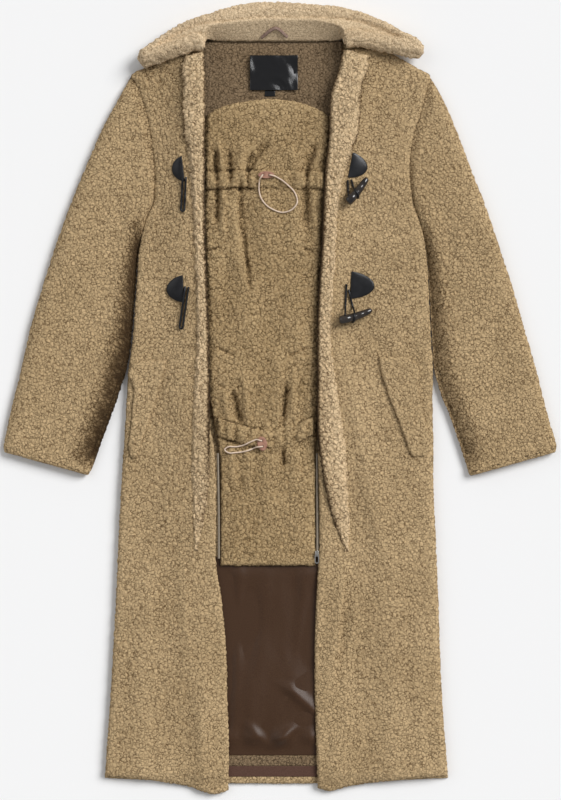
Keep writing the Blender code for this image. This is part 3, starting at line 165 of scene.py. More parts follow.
# Collar, from its left tip round the back of the neck to its right tip: the inner edge, the roll line and the
# outer edge, the roll's and the outer edge's heights, and the share of the way down to the surface below.
COLLAR = table(
    "inner_x inner_y roll_x roll_y edge_x edge_y roll_z edge_z down",
    (-115, 539, -119, 540, -210, 511, 41, 26, 0.0), (-115, 544, -119, 545, -216, 520, 42, 26, 0.0),
    (-114, 550, -118, 552, -217, 533, 42.5, 25, 0.0), (-111, 555, -117, 564, -186, 556, 42.5, 22, 0.5),
    (-98, 554.5, -107, 573, -149, 579, 42, 19, 1.0), (-72, 553.7, -79, 579, -99, 598, 41, 17, 1.0),
    (-38, 553.5, -43, 583, -50, 610, 40, 16, 1.0), (0, 553.5, 0, 584, 0, 612, 40, 16, 1.0),
    (36, 553.5, 42, 583, 58, 608, 40, 16, 1.0), (68, 554, 78, 578, 108, 601, 41, 17, 1.0),
    (90, 555, 95, 570, 154, 584, 42, 19, 1.0), (95, 556, 99, 562, 190, 565, 42.5, 22, 0.5),
    (96, 553, 100, 555, 217, 550, 42.5, 25, 0.0), (97, 549, 101, 550, 221, 538, 42, 26, 0.0),
    (99, 544, 103, 545, 214, 526, 41, 26, 0.0),
)
COLLAR_FOOT, COLLAR_FOOT_WING = 13.5, 28.0  # the stand's inner edge at the neck and at the wings
COLLAR_EDGE_ROUND = 13.0
COLLAR_OVERLAP = 2.5  # of its inner edge on the neck facing
COLLAR_PITCH, STAND_ROWS, FALL_ROWS = 2.2, 11, 40
# Under its edge: how far out, and what is left of its height.
COLLAR_TURN = table("out level", (1.0, 0.6), (0.992, 0.2))
COLLAR_LOW = 0.3  # share of its height left at its two ends
FALL_BEND = 1.3
RIM_WIDE, RIM_FADE = 24.0, (0.7, 1.3)  # of the collar's curly rim
RIM_SWELL, RIM_GROOVE, GROOVE_WIDE = 6.0, 2.6, 3.5
# The cloth under its upper side, and how much more along the rim and the inner edge, over how much of its width.
COLLAR_SHELL, RIM_SHELL, FOOT_SHELL = 8.0, (14.0, 16.0), (20.0, 12.0)

# Pocket welts: the mouth's upper and lower end, and the width outwards there.
POCKETS = {
    "left": table("y inner outer", (59, -176, -211), (56, -176.5, -218), (10, -188, -226), (-40, -204, -230),
                  (-85, -219, -233), (-93, -222, -230)),
    "right": table("y inner outer", (64, 154, 196), (59, 153.5, 204), (15, 164, 213), (-40, 185, 226),
                   (-80, 199, 231), (-90, 203, 226)),
}

# Toggle patches: the middle of the straight side, how far the point reaches out, half length, tilt in degrees.
PATCHES = {
    "upper_left": SimpleNamespace(x=-149.0, y=354.0, reach=-18.0, half=19.5, tilt=7.0),
    "lower_left": SimpleNamespace(x=-148.5, y=169.0, reach=-27.0, half=21.0, tilt=4.0),
    "upper_right": SimpleNamespace(x=108.5, y=360.0, reach=27.0, half=19.5, tilt=-11.0),
    "lower_right": SimpleNamespace(x=109.0, y=175.0, reach=37.0, half=21.0, tilt=-3.0),
}
PATCH_THICK, PATCH_CROWN, PATCH_ROUND = 2.0, 1.6, 1.6
STITCH_INSET, STITCH_LONG = 2.6, 1.6
STITCH_HIGH, STITCH_WIDE = 0.45, 0.4
STITCH_GROOVE, STITCH_GROOVE_WIDE = 0.35, 0.7
# Loops on the left: where the two strands start, and where they turn.
LOOPS = {"upper": ((-147.5, 341.0), (-150.0, 291.0)), "lower": ((-143.5, 172.0), (-152.5, 110.0))}
LOOP_HALF = 2.6  # from the middle of the loop to either strand's

# Horn toggles: thick end and tip in plan, and the radius from the thick end to the tip.
TOGGLES = {
    "upper": SimpleNamespace(thick=(103.0, 301.5), tip=(134.5, 339.5)),
    "lower": SimpleNamespace(thick=(90.5, 120.0), tip=(141.5, 136.5)),
}
HORN = table("share radius", (0, 3.4), (0.03, 4.9), (0.09, 5.9), (0.2, 6.0), (0.35, 5.5), (0.5, 5.3),
             (0.65, 4.9), (0.82, 4.2), (0.94, 3.4), (0.98, 2.7), (1, 1.8))
# Where the two strands of each toggle's cord come out from under its patch.
CORD_STARTS = {"upper": ((104.5, 336.5), (110.0, 337.5)), "lower": ((102.5, 176.0), (106.0, 167.5))}
HORN_FULLER = 1.22
HORN_SAG = 2.5  # how far its middle hangs below the straight line from end to end, in plan
CORD_TURN = (0.22, 0.5, 30.0, -330.0)  # where the cord goes round the horn, and from which angle to which

# Draw cords: the ways of the two loops on the insert, from one hole of the stop round to the other.
DRAW_CORDS = {
    "upper": table("x y", (-31.5, 337.5), (-32.5, 324), (-30, 311), (-23, 300), (-11, 291.5), (4, 287),
                   (18, 291), (26.5, 302), (23, 317), (11, 330), (-1, 339), (-8, 342.5)),
    "lower": table("x y", (-36.5, -63.5), (-46, -67.5), (-58, -73), (-70, -75), (-80, -75), (-85.5, -79.5),
                   (-80, -84), (-69, -84), (-57, -82.5), (-46, -79.5), (-37, -75.5)),
}
STOPS = {
    "upper": SimpleNamespace(x=-21.5, y=344.5, long=25.0, wide=11.0, turn=0.0),
    "lower": SimpleNamespace(x=-27.5, y=-70.0, long=22.0, wide=15.0, turn=100.0),
}
STOP_HIGH, STOP_HOLES = 4.5, 0.2  # the holes lie this share of its length off its middle
HOLE_DEEP, HOLE_SIDE = 2.6, (1.2, 1.9)  # a hole's depth, and from where to where its side rises
STOP_RIM = table("ring level", (0.94, 0), (0.985, 0.08), (1, 0.22), (1, 0.72), (0.985, 0.9), (0.95, 0.98))

# Each end of a draw cord on its way from its hole to its route: share of the way, and height over the stop's top.
CORD_EXIT = [(0.0, -1.6), (0.02, 0.4), (0.2, 1.9), (0.55, 2.0), (0.9, 0.6)]

# Neck label with its size tab, and the tape loop to hang the coat by.
LABEL = SimpleNamespace(left=-46.5, right=27.5, low=476.0, high=530.0, thick=0.9)
TAB = SimpleNamespace(left=-23.5, right=-7.5, low=466.5, high=475.6, thick=0.9)
HANGER = table("x y", (-29, 556), (-24, 560), (-16, 566), (-7, 570), (0, 567), (6, 562), (12, 557))
HANGER_WIDE, HANGER_THICK = 5.0, 1.2

# Inside of the back below the insert.
LINING = SimpleNamespace(left=-108.0, right=76.0, low=-552.5, high=-246.0)
HEM_BAND = SimpleNamespace(left=-100.0, right=72.0, low=-568.5, high=-553.0)
HEM_TAPE = SimpleNamespace(left=-100.0, right=72.0, low=-585.5, high=-569.0)
HEM_BAND_THICK, HEM_TAPE_THICK = 1.5, 0.9
NECK_INSIDE = SimpleNamespace(left=-119.0, right=97.0, low=392.0, high=NECK)
NECK_THICK, LINING_THICK = 5.5, 1.2
LINING_FOLDS = table(
    "x0 y0 x1 y1 wide high", (-62, -255, -70, -552, 9, 2.6), (8, -440, 62, -492, 13, 5.0),
    (-24, -552, 22, -508, 12, 4.4), (-20, -262, -34, -430, 12, 2.0), (38, -260, 30, -380, 9, 2.0),
    (-52, -500, -6, -552, 8, 2.2),
)

# Zips at the insert's sides.
ZIP_WIDE, ZIP_THICK = 3.4, 2.0
ZIPS = {"left": table("y x", (-248, -94.6), (-180, -94.8), (-85, -96.3)),
        "right": table("y x", (-239, 57.7), (-180, 57.6), (-85, 57.4))}
ZIP_SINK = 2.4  # how far the zip's underside lies below the cloth's upper side
ZIP_RIB, ZIP_TEETH = 1.5, 0.35  # how long a rib of its middle is, and how high
# The tape and its teeth, across the zip: the place as a share of its width, and the level.
ZIP_PROFILE = table("across level", (-0.5, 0.3), (-0.46, 0.62), (-0.3, 0.66), (-0.22, 0.72), (-0.12, 0.95), (0, 1),
                    (0.12, 0.95), (0.22, 0.72), (0.3, 0.66), (0.46, 0.62), (0.5, 0.3))

# Grid pitches, edges and the forms of the large pieces.
BACK_PITCH, PITCH, FINE_PITCH = 5.0, 2.0, 1.7
RIM_TURN = np.radians([150.0, 122.0, 94.0, 66.0, 40.0, 16.0])  # how far round a cloth edge its points lie
UNDERSIDE_SKIP = 10  # the hidden underside has one point for so many of the upper side's
FAR = 99.0  # a distance past all that matters
EDGE_ROUND = 6.5  # of a cut or seamed cloth edge
SEAM_DRAW, SEAM_REACH = 1.6, 12.0  # a seam's side is drawn down by so much, over so much of its width
HEM_DROOP = 6.0  # the fronts' hems hang down past the back's
DROOP_FROM, DROOP_BETWEEN = FRONT_HEM + 14.0, (8.0, 34.0)
STRIP_THICK, STRIP_ROUND = 8.5, 6.5
STRIP_CROWN = 2.2
STRIP_SUNK = 1.0  # its underside in the front's upper side
STRIP_ROUGH = 12.0  # how far in from its outer edge it is ragged
STRIP_TAIL = (-8.0, 110.0)  # over this length it rises from its lower end
STRIP_HEAD = 50.0
ROLL_RISE = (0.08, 0.42)  # of the soft roll, as shares of its width
OUTER_SINK = 3.5  # of the roll's outer side in the front
SLAB_BETWEEN = (290.0, 440.0)  # over these heights the strip's outer edge turns from a soft rise into a free edge
SLEEVE_ROUND_TOP, SLEEVE_ROUND_BASE = 24.0, 13.0
SLEEVE_SEAM_DIP = 4.5
SLEEVE_INNER_FALL, SLEEVE_FALL_WIDE = 8.5, 36.0  # the side next to the body lies lower
CUFF_ROUND, CUFF_TURN = 6.0, np.radians([0, 35, 70, 105, 140])
SLEEVE_TOP_TURN, SLEEVE_BASE_TURN = [84, 70, 56, 42, 28, 14], [60, 30]
SLEEVE_MIDDLE = 0.46  # of its height: where its upper and lower side meet
SLEEVE_LEAN = 0.12  # of the sleeve outwards at its cuff
INSIDE_RINGS, BASE_POINTS = 14, 12
# Folds with unlike sides: from one end to the other, the width on the left and right, and the height.
FOLD_COLUMNS = "x0 y0 x1 y1 wide_left wide_right high"
FRONT_CREASES = {
    "left": table(FOLD_COLUMNS, (-150, 30, -138, -230, 34, 14, 3.0), (-150, -250, -140, -420, 12, 5, 1.8),
                  (-190, 120, -205, 20, 14, 9, -1.6), (-185, 300, -160, 250, 16, 10, -1.4),
                  (-120, -560, -122, -480, 10, 6, 1.6)),
    "right": table(FOLD_COLUMNS, (101, 90, 155, -235, 14, 34, 3.0), (103, -262, 92, -400, 2.6, 10, -2.4),
                   (120, -300, 96, -460, 6, 12, 1.8), (190, 130, 212, 30, 9, 14, -1.6),
                   (175, 310, 150, 250, 10, 16, -1.4), (84, -520, 80, -600, 7, 10, 1.4)),
}
SLEEVE_CREASES = {
    "left": table(FOLD_COLUMNS, (-240, 300, -262, 210, 12, 8, -2.0), (-300, 300, -330, 180, 24, 18, 1.6),
                  (-330, 90, -352, -20, 20, 16, -1.6), (-262, 180, -282, 90, 10, 14, -1.4)),
    "right": table(FOLD_COLUMNS, (248, 300, 268, 212, 8, 12, -2.0), (300, 310, 332, 180, 18, 24, 1.6),
                   (335, 90, 352, -20, 16, 20, -1.6), (262, 190, 284, 90, 14, 10, -1.4)),
}
# Ridges and troughs of the insert, gathered by its two channels.
INSERT_CREASES = table(
    FOLD_COLUMNS,
    (-62.5, 336, -60.5, 258, 2.6, 3.0, -5.6), (-61, 290, -47, 172, 2.8, 3.0, -5.4),
    (-60, 336, -58, 258, 3.0, 20, -2.6), (-58, 290, -45, 172, 3.0, 20, -2.6), (-76, 322, -64, 190, 11, 9, 2.2),
    (-98, 336, -100, 384, 3.4, 3.4, -6.0), (-77, 338, -79, 382, 3.4, 3.4, -6.0), (-51, 342, -45, 374, 3.2, 7, -6.4),
    (-46, 362, -16, 394, 8, 4, -4.6), (41, 338, 45, 374, 5, 3.2, -6.2), (44, 364, 58, 392, 8, 3.4, -4.4),
    (-97, 326, -98, 272, 3.4, 3.4, -6.2), (41, 326, 42, 262, 8, 3.2, -6.2), (-88, 344, -95, 396, 6, 6, 2.8),
    (-64, 344, -58, 400, 7, 7, 3.2), (26, 346, 12, 390, 11, 8, 2.4), (52, 346, 62, 388, 4, 4, 2.4),
    (-24, 320, -20, 232, 14, 16, 2.0), (22, 322, 20, 226, 12, 12, 2.6), (52, 322, 54, 250, 4, 5, 2.4),
    (-88, 322, -88, 250, 6, 4, 2.6), (-86, 14, -78, -42, 8, 5, 3.0), (-73, 8, -62, -40, 3.2, 5, -6.4),
    (-58, 44, -48, -46, 6, 9, 3.0), (-2, 70, 0, -46, 14, 9, 2.2), (10, 20, 4, -42, 5, 3.2, -6.6),
    (20, 46, 22, -40, 7, 8, 3.2), (45, 8, 42, -40, 5, 6, 2.2), (-76, -74, -74, -134, 7, 8, 2.6),
    (-50, -74, -46, -154, 8, 6, 2.4), (4, -76, 6, -106, 3.4, 3.4, -6.0), (24, -72, 22, -140, 8, 8, 2.8),
    (-20, -76, -16, -190, 12, 12, 2.0), (-44, 190, -52, 96, 20, 14, 2.0), (18, 190, 30, 50, 14, 20, 2.0),
    (-80, 214, -86, 110, 8, 13, -1.6), (-12, 130, -24, 20, 16, 12, -1.6), (34, -120, 28, -240, 14, 16, 1.6),
    (-64, -140, -70, -250, 14, 16, 1.4),
)
CREASE_FADE = (-0.12, 0.22, 0.72, 1.15)  # along it: it starts, is full, starts to fade, is gone
RIDGE_FADE = (-0.15, 0.3, 0.8, 1.25)

# Painted shade and light that the pile's finish reads from the meshes.
FOLD_REACH = 6  # grid cells to each side that a fold's depth is measured over
FOLD_SHADE = 0.22  # painted shade: how much darker the pile is for each millimetre down in a fold; painted light on ridges
GAP_SHADE, GAP_WIDE = 1.5, 3.0  # the same by the edges of pieces that press on each other
COLLAR_SHADE, COLLAR_SHADE_WIDE = 1.6, 12.0  # and under the collar's edge
INNER_SHADE = {"left": 0.0, "right": 0.6}  # share of the gap's shade left at a strip's lower end
ROLL_SHADE = 1.3  # and on the front's soft roll, towards the opening
SLEEVE_SHADE = {"left": 2.4, "right": 1.0}  # and on a sleeve's side next to the body: a painted shadow of the body
ARMHOLE_SHADE = 0.6

# The insert and its channels.
GATHER_DEPTH = 1.3  # a factor on all the heights of INSERT_CREASES
INSERT_CROWN = 1.5
INSERT_EDGE_FALL = 3.4  # its sides lie lower, over EDGE_FALL_WIDE, where the strips press on it
EDGE_FALL_WIDE = 10.0
DART_DEEP, DART_WIDE = 4.0, 2.2
# Each channel's lumps: troughs across it, where it is drawn in by the elastic, and how deep they are.
CHANNEL_TROUGHS = {
    "upper": table("x wide deep", (-97, 3.0, 4.6), (-77, 2.8, 4.2), (-50, 3.0, 5.4), (-34, 3.0, 2.2),
                   (-2, 4.0, 1.6), (18, 3.4, 2.6), (41, 2.8, 4.8), (52, 2.8, 2.0)),
    "lower": table("x wide deep", (-86, 3.0, 3.0), (-69, 3.4, 5.0), (-48, 3.2, 3.4), (-30, 4.0, 2.4),
                   (-10, 3.2, 2.6), (6, 3.2, 5.4), (24, 3.2, 2.4), (43, 3.2, 4.0)),
}
CHANNEL_HIGH = 7.5
CHANNEL_ROUND, CHANNEL_BASE = 5.0, 1.5
CHANNEL_MIDDLE = -4.0  # the place between the gathered sides, in x

# Uneven lines and surfaces, as sums of smooth noises: the height, size and seed of each.
STRIP_RAGGED = [(2.2, 6.0, 77), (1.4, 26.0, 78)]
COLLAR_RAGGED = [(1.5, 9.0, 63), (1.2, 30.0, 64)]
CHANNEL_WOBBLE = [(1.6, 14.0, 61)]
LINING_WRINKLES = [(4.5, 52.0, 4), (1.3, 22.0, 5), (0.2, 9.0, 6)]
LABEL_BEND = [(6.0, 24.0, 71)]
LABEL_WRINKLES = [(0.3, 9.0, 72)]

# The pile: size and height of its curls.
COAT_CURL = SimpleNamespace(size=7.5, high=1.5, seed=3)
STRIP_CURL = SimpleNamespace(size=7.5, high=2.2, seed=11)
INSERT_CURL = SimpleNamespace(size=7.5, high=1.7, seed=23)
RIM_CURL = SimpleNamespace(size=7.0, high=2.6, seed=31)
COLLAR_CURL = SimpleNamespace(size=4.2, high=0.7, seed=41)
INSIDE_CURL = SimpleNamespace(size=4.4, high=0.9, seed=51)
CURL_MIDDLE = 0.45  # of a curl's height, which stays where the cloth is

# The surface below, the light on it and the camera: colours, sun lamps with their place, spread and power.
PAPER_COLOUR = (0.885, 0.885, 0.885)
PAPER_HALF, PAPER_SINK = 40.0, 0.0004  # metres
FILL_COLOUR, FILL_STRENGTH = (0.985, 0.99, 1.0), 0.36
LIGHTS = [("key", (1.7, 1.2, 1.75), 32.0, 2.9), ("side", (-1.7, 0.9, 1.7), 50.0, 0.4)]
LENS, SENSOR, SIGHT = 150.0, 36.0, 100.0  # the last is how far the camera sees, in metres
VIEW_CENTRE, VIEW_LONG = (0.8, -2.7), 1240.0


# ---------------------------------------------------------------- formulas
CURL_JITTER, CURL_BEND, CREVICE = 0.45, 1.6, 0.42  # how far cells are bent, the bend's size, and the crevices' width
CURL_LEAST = 0.62  # height of the lowest curl


def smooth(xs, ys, x):
    """Smooth curve through a table: cubic pieces, each slope the one of the table around its point."""
    slope = np.gradient(ys, xs)
    i = np.clip(np.searchsorted(xs, x) - 1, 0, len(xs) - 2)
    span = xs[i + 1] - xs[i]
    t = np.clip((x - xs[i]) / span, 0.0, 1.0)
    start = ys[i] * (1 + 2 * t) * (1 - t) ** 2 + slope[i] * span * t * (1 - t) ** 2
    end = ys[i + 1] * t * t * (3 - 2 * t) - slope[i + 1] * span * t * t * (1 - t)
    return start + end


def step(low, high, x):
    """0 below low, 1 above high, and a smooth rise between them."""
    t = np.clip((x - low) / (high - low), 0.0, 1.0)
    return t * t * (3 - 2 * t)


def rounded(distance, radius):
    """Quarter ellipse: 0 at an edge, 1 from the radius inwards."""
    return np.sqrt(1 - (1 - np.clip(distance / radius, 0.0, 1.0)) ** 2)


def fading(along, shares):
    """A rise and a fall along a line: 0, then 1, then 0 again, smoothly between the shares."""
    return step(*shares[:2], along) * (1 - step(*shares[2:], along))


def ridges(folds, x, y):
    """Sum of soft ridges: each a bell across its line, fading over the first and last third of the line."""
    total = np.zeros(np.broadcast(x, y).shape)
    for x0, y0, x1, y1, wide, high in zip(*vars(folds).values()):
        along = (np.asarray(y) - y0) / (y1 - y0)
        across = x - (x0 + (x1 - x0) * along)
        total = total + high * fading(along, RIDGE_FADE) * np.exp(-((across / wide) ** 2))
    return total


def creases(lines, x, y):
    """Sum of folds with unlike sides: each a bell across its line, narrow on one side and wide on the other,
    fading in and out along it. A negative height makes a trough."""
    total = np.zeros(np.broadcast(x, y).shape)
    for x0, y0, x1, y1, wide_left, wide_right, high in zip(*vars(lines).values()):
        along_x, along_y = x1 - x0, y1 - y0
        length = np.hypot(along_x, along_y)
        along = ((x - x0) * along_x + (y - y0) * along_y) / length ** 2
        across = ((x - x0) * along_y - (y - y0) * along_x) / length * (1.0 if along_y > 0 else -1.0)
        wide = np.where(across < 0, wide_left, wide_right)
        total = total + high * fading(along, CREASE_FADE) * np.exp(-((across / wide) ** 2))
    return total


def chance(cells, seed):
    """A repeatable number from 0 to 1 for each lattice cell: its whole coordinates, mixed bit by bit."""
    cells = cells.astype(np.int64).astype(np.uint32)
    mixed = cells[..., 0] * np.uint32(374761393) + cells[..., 1] * np.uint32(668265263)
    mixed = mixed + cells[..., 2] * np.uint32(2246822519) + np.uint32(seed * 3266489917 % 2 ** 32)
    for shift, factor in ((13, 1274126177), (16, 2654435761)):
        mixed = (mixed ^ (mixed >> np.uint32(shift))) * np.uint32(factor)
    return ((mixed ^ (mixed >> np.uint32(15))) >> np.uint32(8)) / float(2 ** 24)


def drift(points, size, seed):
    """Smooth noise from -1 to 1: lattice values blended between the eight corners around each point."""
    place = points / size
    corner = np.floor(place)
    share = place - corner
    share = share * share * (3 - 2 * share)
    total = np.zeros(points.shape[:-1])
    for offset in product((0, 1), repeat=3):
        weight = np.prod(np.where(np.array(offset) == 1, share, 1 - share), axis=-1)
        total += weight * chance(corner + offset, seed)
    return 2 * total - 1


def drifts(points, waves):
    """Sum of smooth noises, each with its own height, size and seed."""
    return sum(high * drift(points, size, seed) for high, size, seed in waves)


def curls(points, size, seed):
    """Curls of pile: 0 in the crevices and 1 on the curls. Each point's distances to the nearest and the second
    nearest of a lattice's jittered centres: where they are alike there is a crevice between two curls."""
    bend = np.stack([drift(points, size * CURL_BEND, seed + k) for k in range(3)], axis=-1)
    place = points / size + CURL_JITTER * bend
    corner = np.floor(place)
    near = np.full(points.shape[:-1], 9.0)
    second = near.copy()
    level = np.zeros(points.shape[:-1])
    for offset in product((-1, 0, 1), repeat=3):
        cell = corner + offset
        centre = cell + np.stack([chance(cell, seed + k) for k in (5, 6, 7)], axis=-1)
        away = np.linalg.norm(place - centre, axis=-1)
        level = np.where(away < near, chance(cell, seed + 8), level)
        second = np.minimum(second, np.maximum(near, away))
        near = np.minimum(near, away)
    return step(0.0, CREVICE, second - near) * (CURL_LEAST + (1 - CURL_LEAST) * level)


def body_edge(side, y):
    """The body's outer edge at y."""
    return smooth(BODY.y, getattr(BODY, side), y)


def front_edge(side, y):
    """The front's inner edge, under the strip that is turned back on it."""
    return smooth(FRONT_EDGES[side].y, FRONT_EDGES[side].edge, y)


def front_under(side, x, y):
    """The underside of a front: on the back at the side, carried up over the insert near the front edge."""
    inward = np.abs(x - front_edge(side, y))
    share = 0.5 + 0.5 * np.cos(np.pi * np.clip((inward - LIFT_FLAT) / (LIFT_REACH - LIFT_FLAT), 0, 1))
    return FRONT_BASE + smooth(FRONT_LIFT.y, FRONT_LIFT.z, y) * share + ridges(FOLDS, x, y)


def front_top(side, x, y):
    """The upper side of a front, with its creases."""
    return front_under(side, x, y) + TEDDY + creases(FRONT_CREASES[side], x, y)


def insert_sides(y):
    """The insert's left and right edge at y."""
    return smooth(INSERT.y, INSERT.left, y), smooth(INSERT.y, INSERT.right, y)


def channel_line(channel, share):
    """The middle of a channel across the insert: it sags from the sides to the middle."""
    return channel.side + (channel.middle - channel.side) * np.sin(np.pi * np.clip(share, 0, 1))


def from_middle(low, high, x):
    """0 in the calm middle of a channel and 1 at its gathered sides: a smooth rise over these distances."""
    return step(low, high, np.abs(x - CHANNEL_MIDDLE))


def points_of(rows, *names):
    """Some columns of a table as an array of points."""
    return np.stack([getattr(rows, name) for name in names], axis=1)


def way_along(route):
    """How far along a route each of its points lies."""
    return np.concatenate([[0], np.cumsum(np.linalg.norm(np.diff(route, axis=0), axis=1))])


def smooth_line(knots, route, at):
    """The smooth curve through a route's points, which lie at the knots, taken at some places."""
    return np.stack([smooth(knots, column, at) for column in route.T], axis=1)


def turned(spec, degrees, local_x, local_y):
    """Places around a piece's own middle, turned with it."""
    cos, sin = np.cos(np.radians(degrees)), np.sin(np.radians(degrees))
    return spec.x + local_x * cos - local_y * sin, spec.y + local_x * sin + local_y * cos


# ---------------------------------------------------------------- meshes
def add_piece(name, mesh, material, nodes=(), body=BODY_NAME):
    """Put a finished mesh or curve in the scene: it rides on a body, and stands for the nodes that it replaces."""
    piece = bpy.data.objects.new(name, mesh)
    bpy.context.scene.collection.objects.link(piece)
    mesh.materials.append(material)
    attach(piece, body)
    if nodes:
        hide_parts(*nodes)
    return piece


def mesh_of(name, points, faces, curl=None):
    """A smooth-shaded mesh from points in millimetres. curl is kept as an attribute that the finishes read, painted
    shade included.
    """
    mesh = bpy.data.meshes.new(name)
    mesh.from_pydata((np.asarray(points).reshape(-1, 3) * MM).tolist(), [], faces)
    mesh.shade_smooth()
    if curl is not None:
        mesh.attributes.new("curl", "FLOAT", "POINT").data.foreach_set("value", curl.astype(np.float32))
    mesh.validate()
    return mesh


def quads(index):
    """The faces of a grid of point numbers."""
    corners = [index[:-1, :-1], index[:-1, 1:], index[1:, 1:], index[1:, :-1]]
    return np.stack([corner.ravel() for corner in corners], axis=1)


def grid_normals(points):
    """The upward normal at each point of a grid: the cross product of its two directions."""
    normal = np.cross(np.gradient(points, axis=1), np.gradient(points, axis=0))
    return normal / np.maximum(np.linalg.norm(normal, axis=-1, keepdims=True), 1e-9)


def to_line(x, y, start, end):
    """The distance in plan from each x, y to the straight line between two places."""
    along_x, along_y = end[0] - start[0], end[1] - start[1]
    share = np.clip(((x - start[0]) * along_x + (y - start[1]) * along_y) / (along_x ** 2 + along_y ** 2), 0, 1)
    return np.hypot(x - start[0] - share * along_x, y - start[1] - share * along_y)


def above_mean(z):
    """How far each height of a grid lies above the mean of the heights around it, twice averaged over a square."""
    mean = z
    for axis in (0, 1, 0, 1):
        ends = [(FOLD_REACH + 1, FOLD_REACH) if axis == k else (0, 0) for k in (0, 1)]
        total = np.cumsum(np.pad(mean, ends, mode="edge"), axis=axis)
        last, first = (2 * FOLD_REACH + 1, None), (None, -2 * FOLD_REACH - 1)
        pick = [[slice(None), slice(None)], [slice(None), slice(None)]]
        pick[0][axis], pick[1][axis] = slice(*last), slice(*first)
        mean = (total[tuple(pick[0])] - total[tuple(pick[1])]) / (2 * FOLD_REACH + 1)
    return z - mean


def with_pile(points, curl, amount=1.0):
    """The grid moved out along its normals by the curls' height, and the curls themselves, from 0 to 1, with
    painted shade taken off in folds and painted light added on ridges."""
    pattern = curls(points, curl.size, curl.seed)
    lift = (pattern - CURL_MIDDLE) * curl.high * amount
    # painted shade in folds and painted light on ridges, from how far each point lies below or above the mean around
    # it
    shade = FOLD_SHADE * np.clip(above_mean(points[..., 2]), -8.0, 2.5)
    return points + grid_normals(points) * lift[..., None], pattern + shade


def close_under(name, over, under, curl, material, nodes=()):
    """A cloth piece: a fine upper grid whose edges turn round, closed underneath by a coarse grid. The coarse
    faces along the edges take in all the fine points there, so that the mesh is closed. under is the underside's
    height at each point of the grid, and curl the finish's attribute, or None for 0."""
    rows, columns = over.shape[:2]
    index = np.arange(rows * columns).reshape(rows, columns)
    take_rows = np.unique(np.append(np.arange(0, rows, UNDERSIDE_SKIP), rows - 1))
    take_columns = np.unique(np.append(np.arange(0, columns, UNDERSIDE_SKIP), columns - 1))
    coarse = index[np.ix_(take_rows, take_columns)].copy()
    inner = over[np.ix_(take_rows[1:-1], take_columns[1:-1])].copy()
    under = np.broadcast_to(under, (rows, columns))
    inner[..., 2] = under[np.ix_(take_rows[1:-1], take_columns[1:-1])]
    coarse[1:-1, 1:-1] = rows * columns + np.arange(inner.shape[0] * inner.shape[1]).reshape(inner.shape[:2])
    faces = quads(index).tolist()
    last_row, last_column = len(take_rows) - 2, len(take_columns) - 2
    for i in range(last_row + 1):
        for j in range(last_column + 1):
            r0, r1, c0, c1 = take_rows[i], take_rows[i + 1], take_columns[j], take_columns[j + 1]
            left = index[r0:r1 + 1, c0].tolist() if j == 0 else coarse[i:i + 2, j].tolist()
            top = index[r1, c0:c1 + 1].tolist() if i == last_row else coarse[i + 1, j:j + 2].tolist()
            right = index[r0:r1 + 1, c1].tolist() if j == last_column else coarse[i:i + 2, j + 1].tolist()
            bottom = index[r0, c0:c1 + 1].tolist() if i == 0 else coarse[i, j:j + 2].tolist()
            faces.append(left[:-1] + top[:-1] + right[::-1][:-1] + bottom[::-1][:-1])
    points = np.concatenate([over.reshape(-1, 3), inner.reshape(-1, 3)])
    curl = np.zeros(over.shape[:2]) if curl is None else curl
    shade = np.concatenate([curl.ravel(), np.full(len(inner.reshape(-1, 3)), 0.5)])
    return add_piece(name, mesh_of(name, points, faces, shade), material, nodes)


def over_edges(width, pitch, radius, near=True, far=True):
    """Ways across a piece of the given width or widths, and how high each is on the cloth's thickness: points
    round the near edge, even ones between, points round the far edge."""
    width = np.atleast_1d(np.asarray(width, float))[:, None]
    turn_way, turn_high = radius * (1 - np.sin(RIM_TURN)), 0.5 + 0.5 * np.cos(RIM_TURN)
    count = max(3, int(np.ceil(width.max() / pitch)))
    low, high = radius if near else 0.0, radius if far else 0.0
    ways, levels = [], []
    if near:
        ways.append(np.broadcast_to(turn_way, (len(width), len(turn_way))))
        levels.append(turn_high)
    ways.append(low + (width - low - high) * np.linspace(0, 1, count))
    levels.append(np.ones(count))
    if far:
        ways.append(width - turn_way[::-1])
        levels.append(turn_high[::-1])
    return np.concatenate(ways, axis=1), np.concatenate(levels)


def grid(x, y, z):
    """x, y and z arrays as one array of points."""
    return np.stack(np.broadcast_arrays(x, y, z), axis=-1)


def surface(objects):
    """The shape of some objects, to look up heights on: one search tree for each."""
    graph = bpy.context.evaluated_depsgraph_get()
    return [BVHTree.FromObject(thing, graph) for thing in objects]


def height(trees, x, y, reach=0.0):
    """Height in millimetres of the highest surface under each x, y, looked for over a disc of radius reach."""
    x, y = np.broadcast_arrays(x, y)
    turns = np.linspace(0, 2 * np.pi, 8, endpoint=False)
    offsets = [(0.0, 0.0)] + ([(reach * np.cos(a), reach * np.sin(a)) for a in turns] if reach else [])
    result = []
    for px, py in zip(np.ravel(x), np.ravel(y)):
        best = 0.0
        for dx, dy in offsets:
            for tree in trees:
                hit = tree.ray_cast(Vector(((px + dx) * MM, (py + dy) * MM, 1.0)), Vector((0, 0, -1)))[0]
                best = max(best, hit.z / MM if hit else 0.0)
        result.append(best)
    return np.array(result).reshape(np.shape(x))


# ---------------------------------------------------------------- finishes
def join(tree, target, value):
    """Feed an input: a socket is joined to it, and another value is set there."""
    if isinstance(value, bpy.types.NodeSocket):
        tree.links.new(value, target)
    else:
        target.default_value = (*value, 1.0) if target.type == "RGBA" else value


def node(tree, kind, *inputs, **values):
    """A shader node: its first inputs in their order, and others and its settings by name."""
    made = tree.nodes.new("ShaderNode" + kind)
    for key, value in values.items():
        label = key.replace("_", " ")
        if label in made.inputs:
            join(tree, made.inputs[label], value)
        else:
            setattr(made, key, value)
    for target, value in zip(made.inputs, inputs):
        join(tree, target, value)
    return made


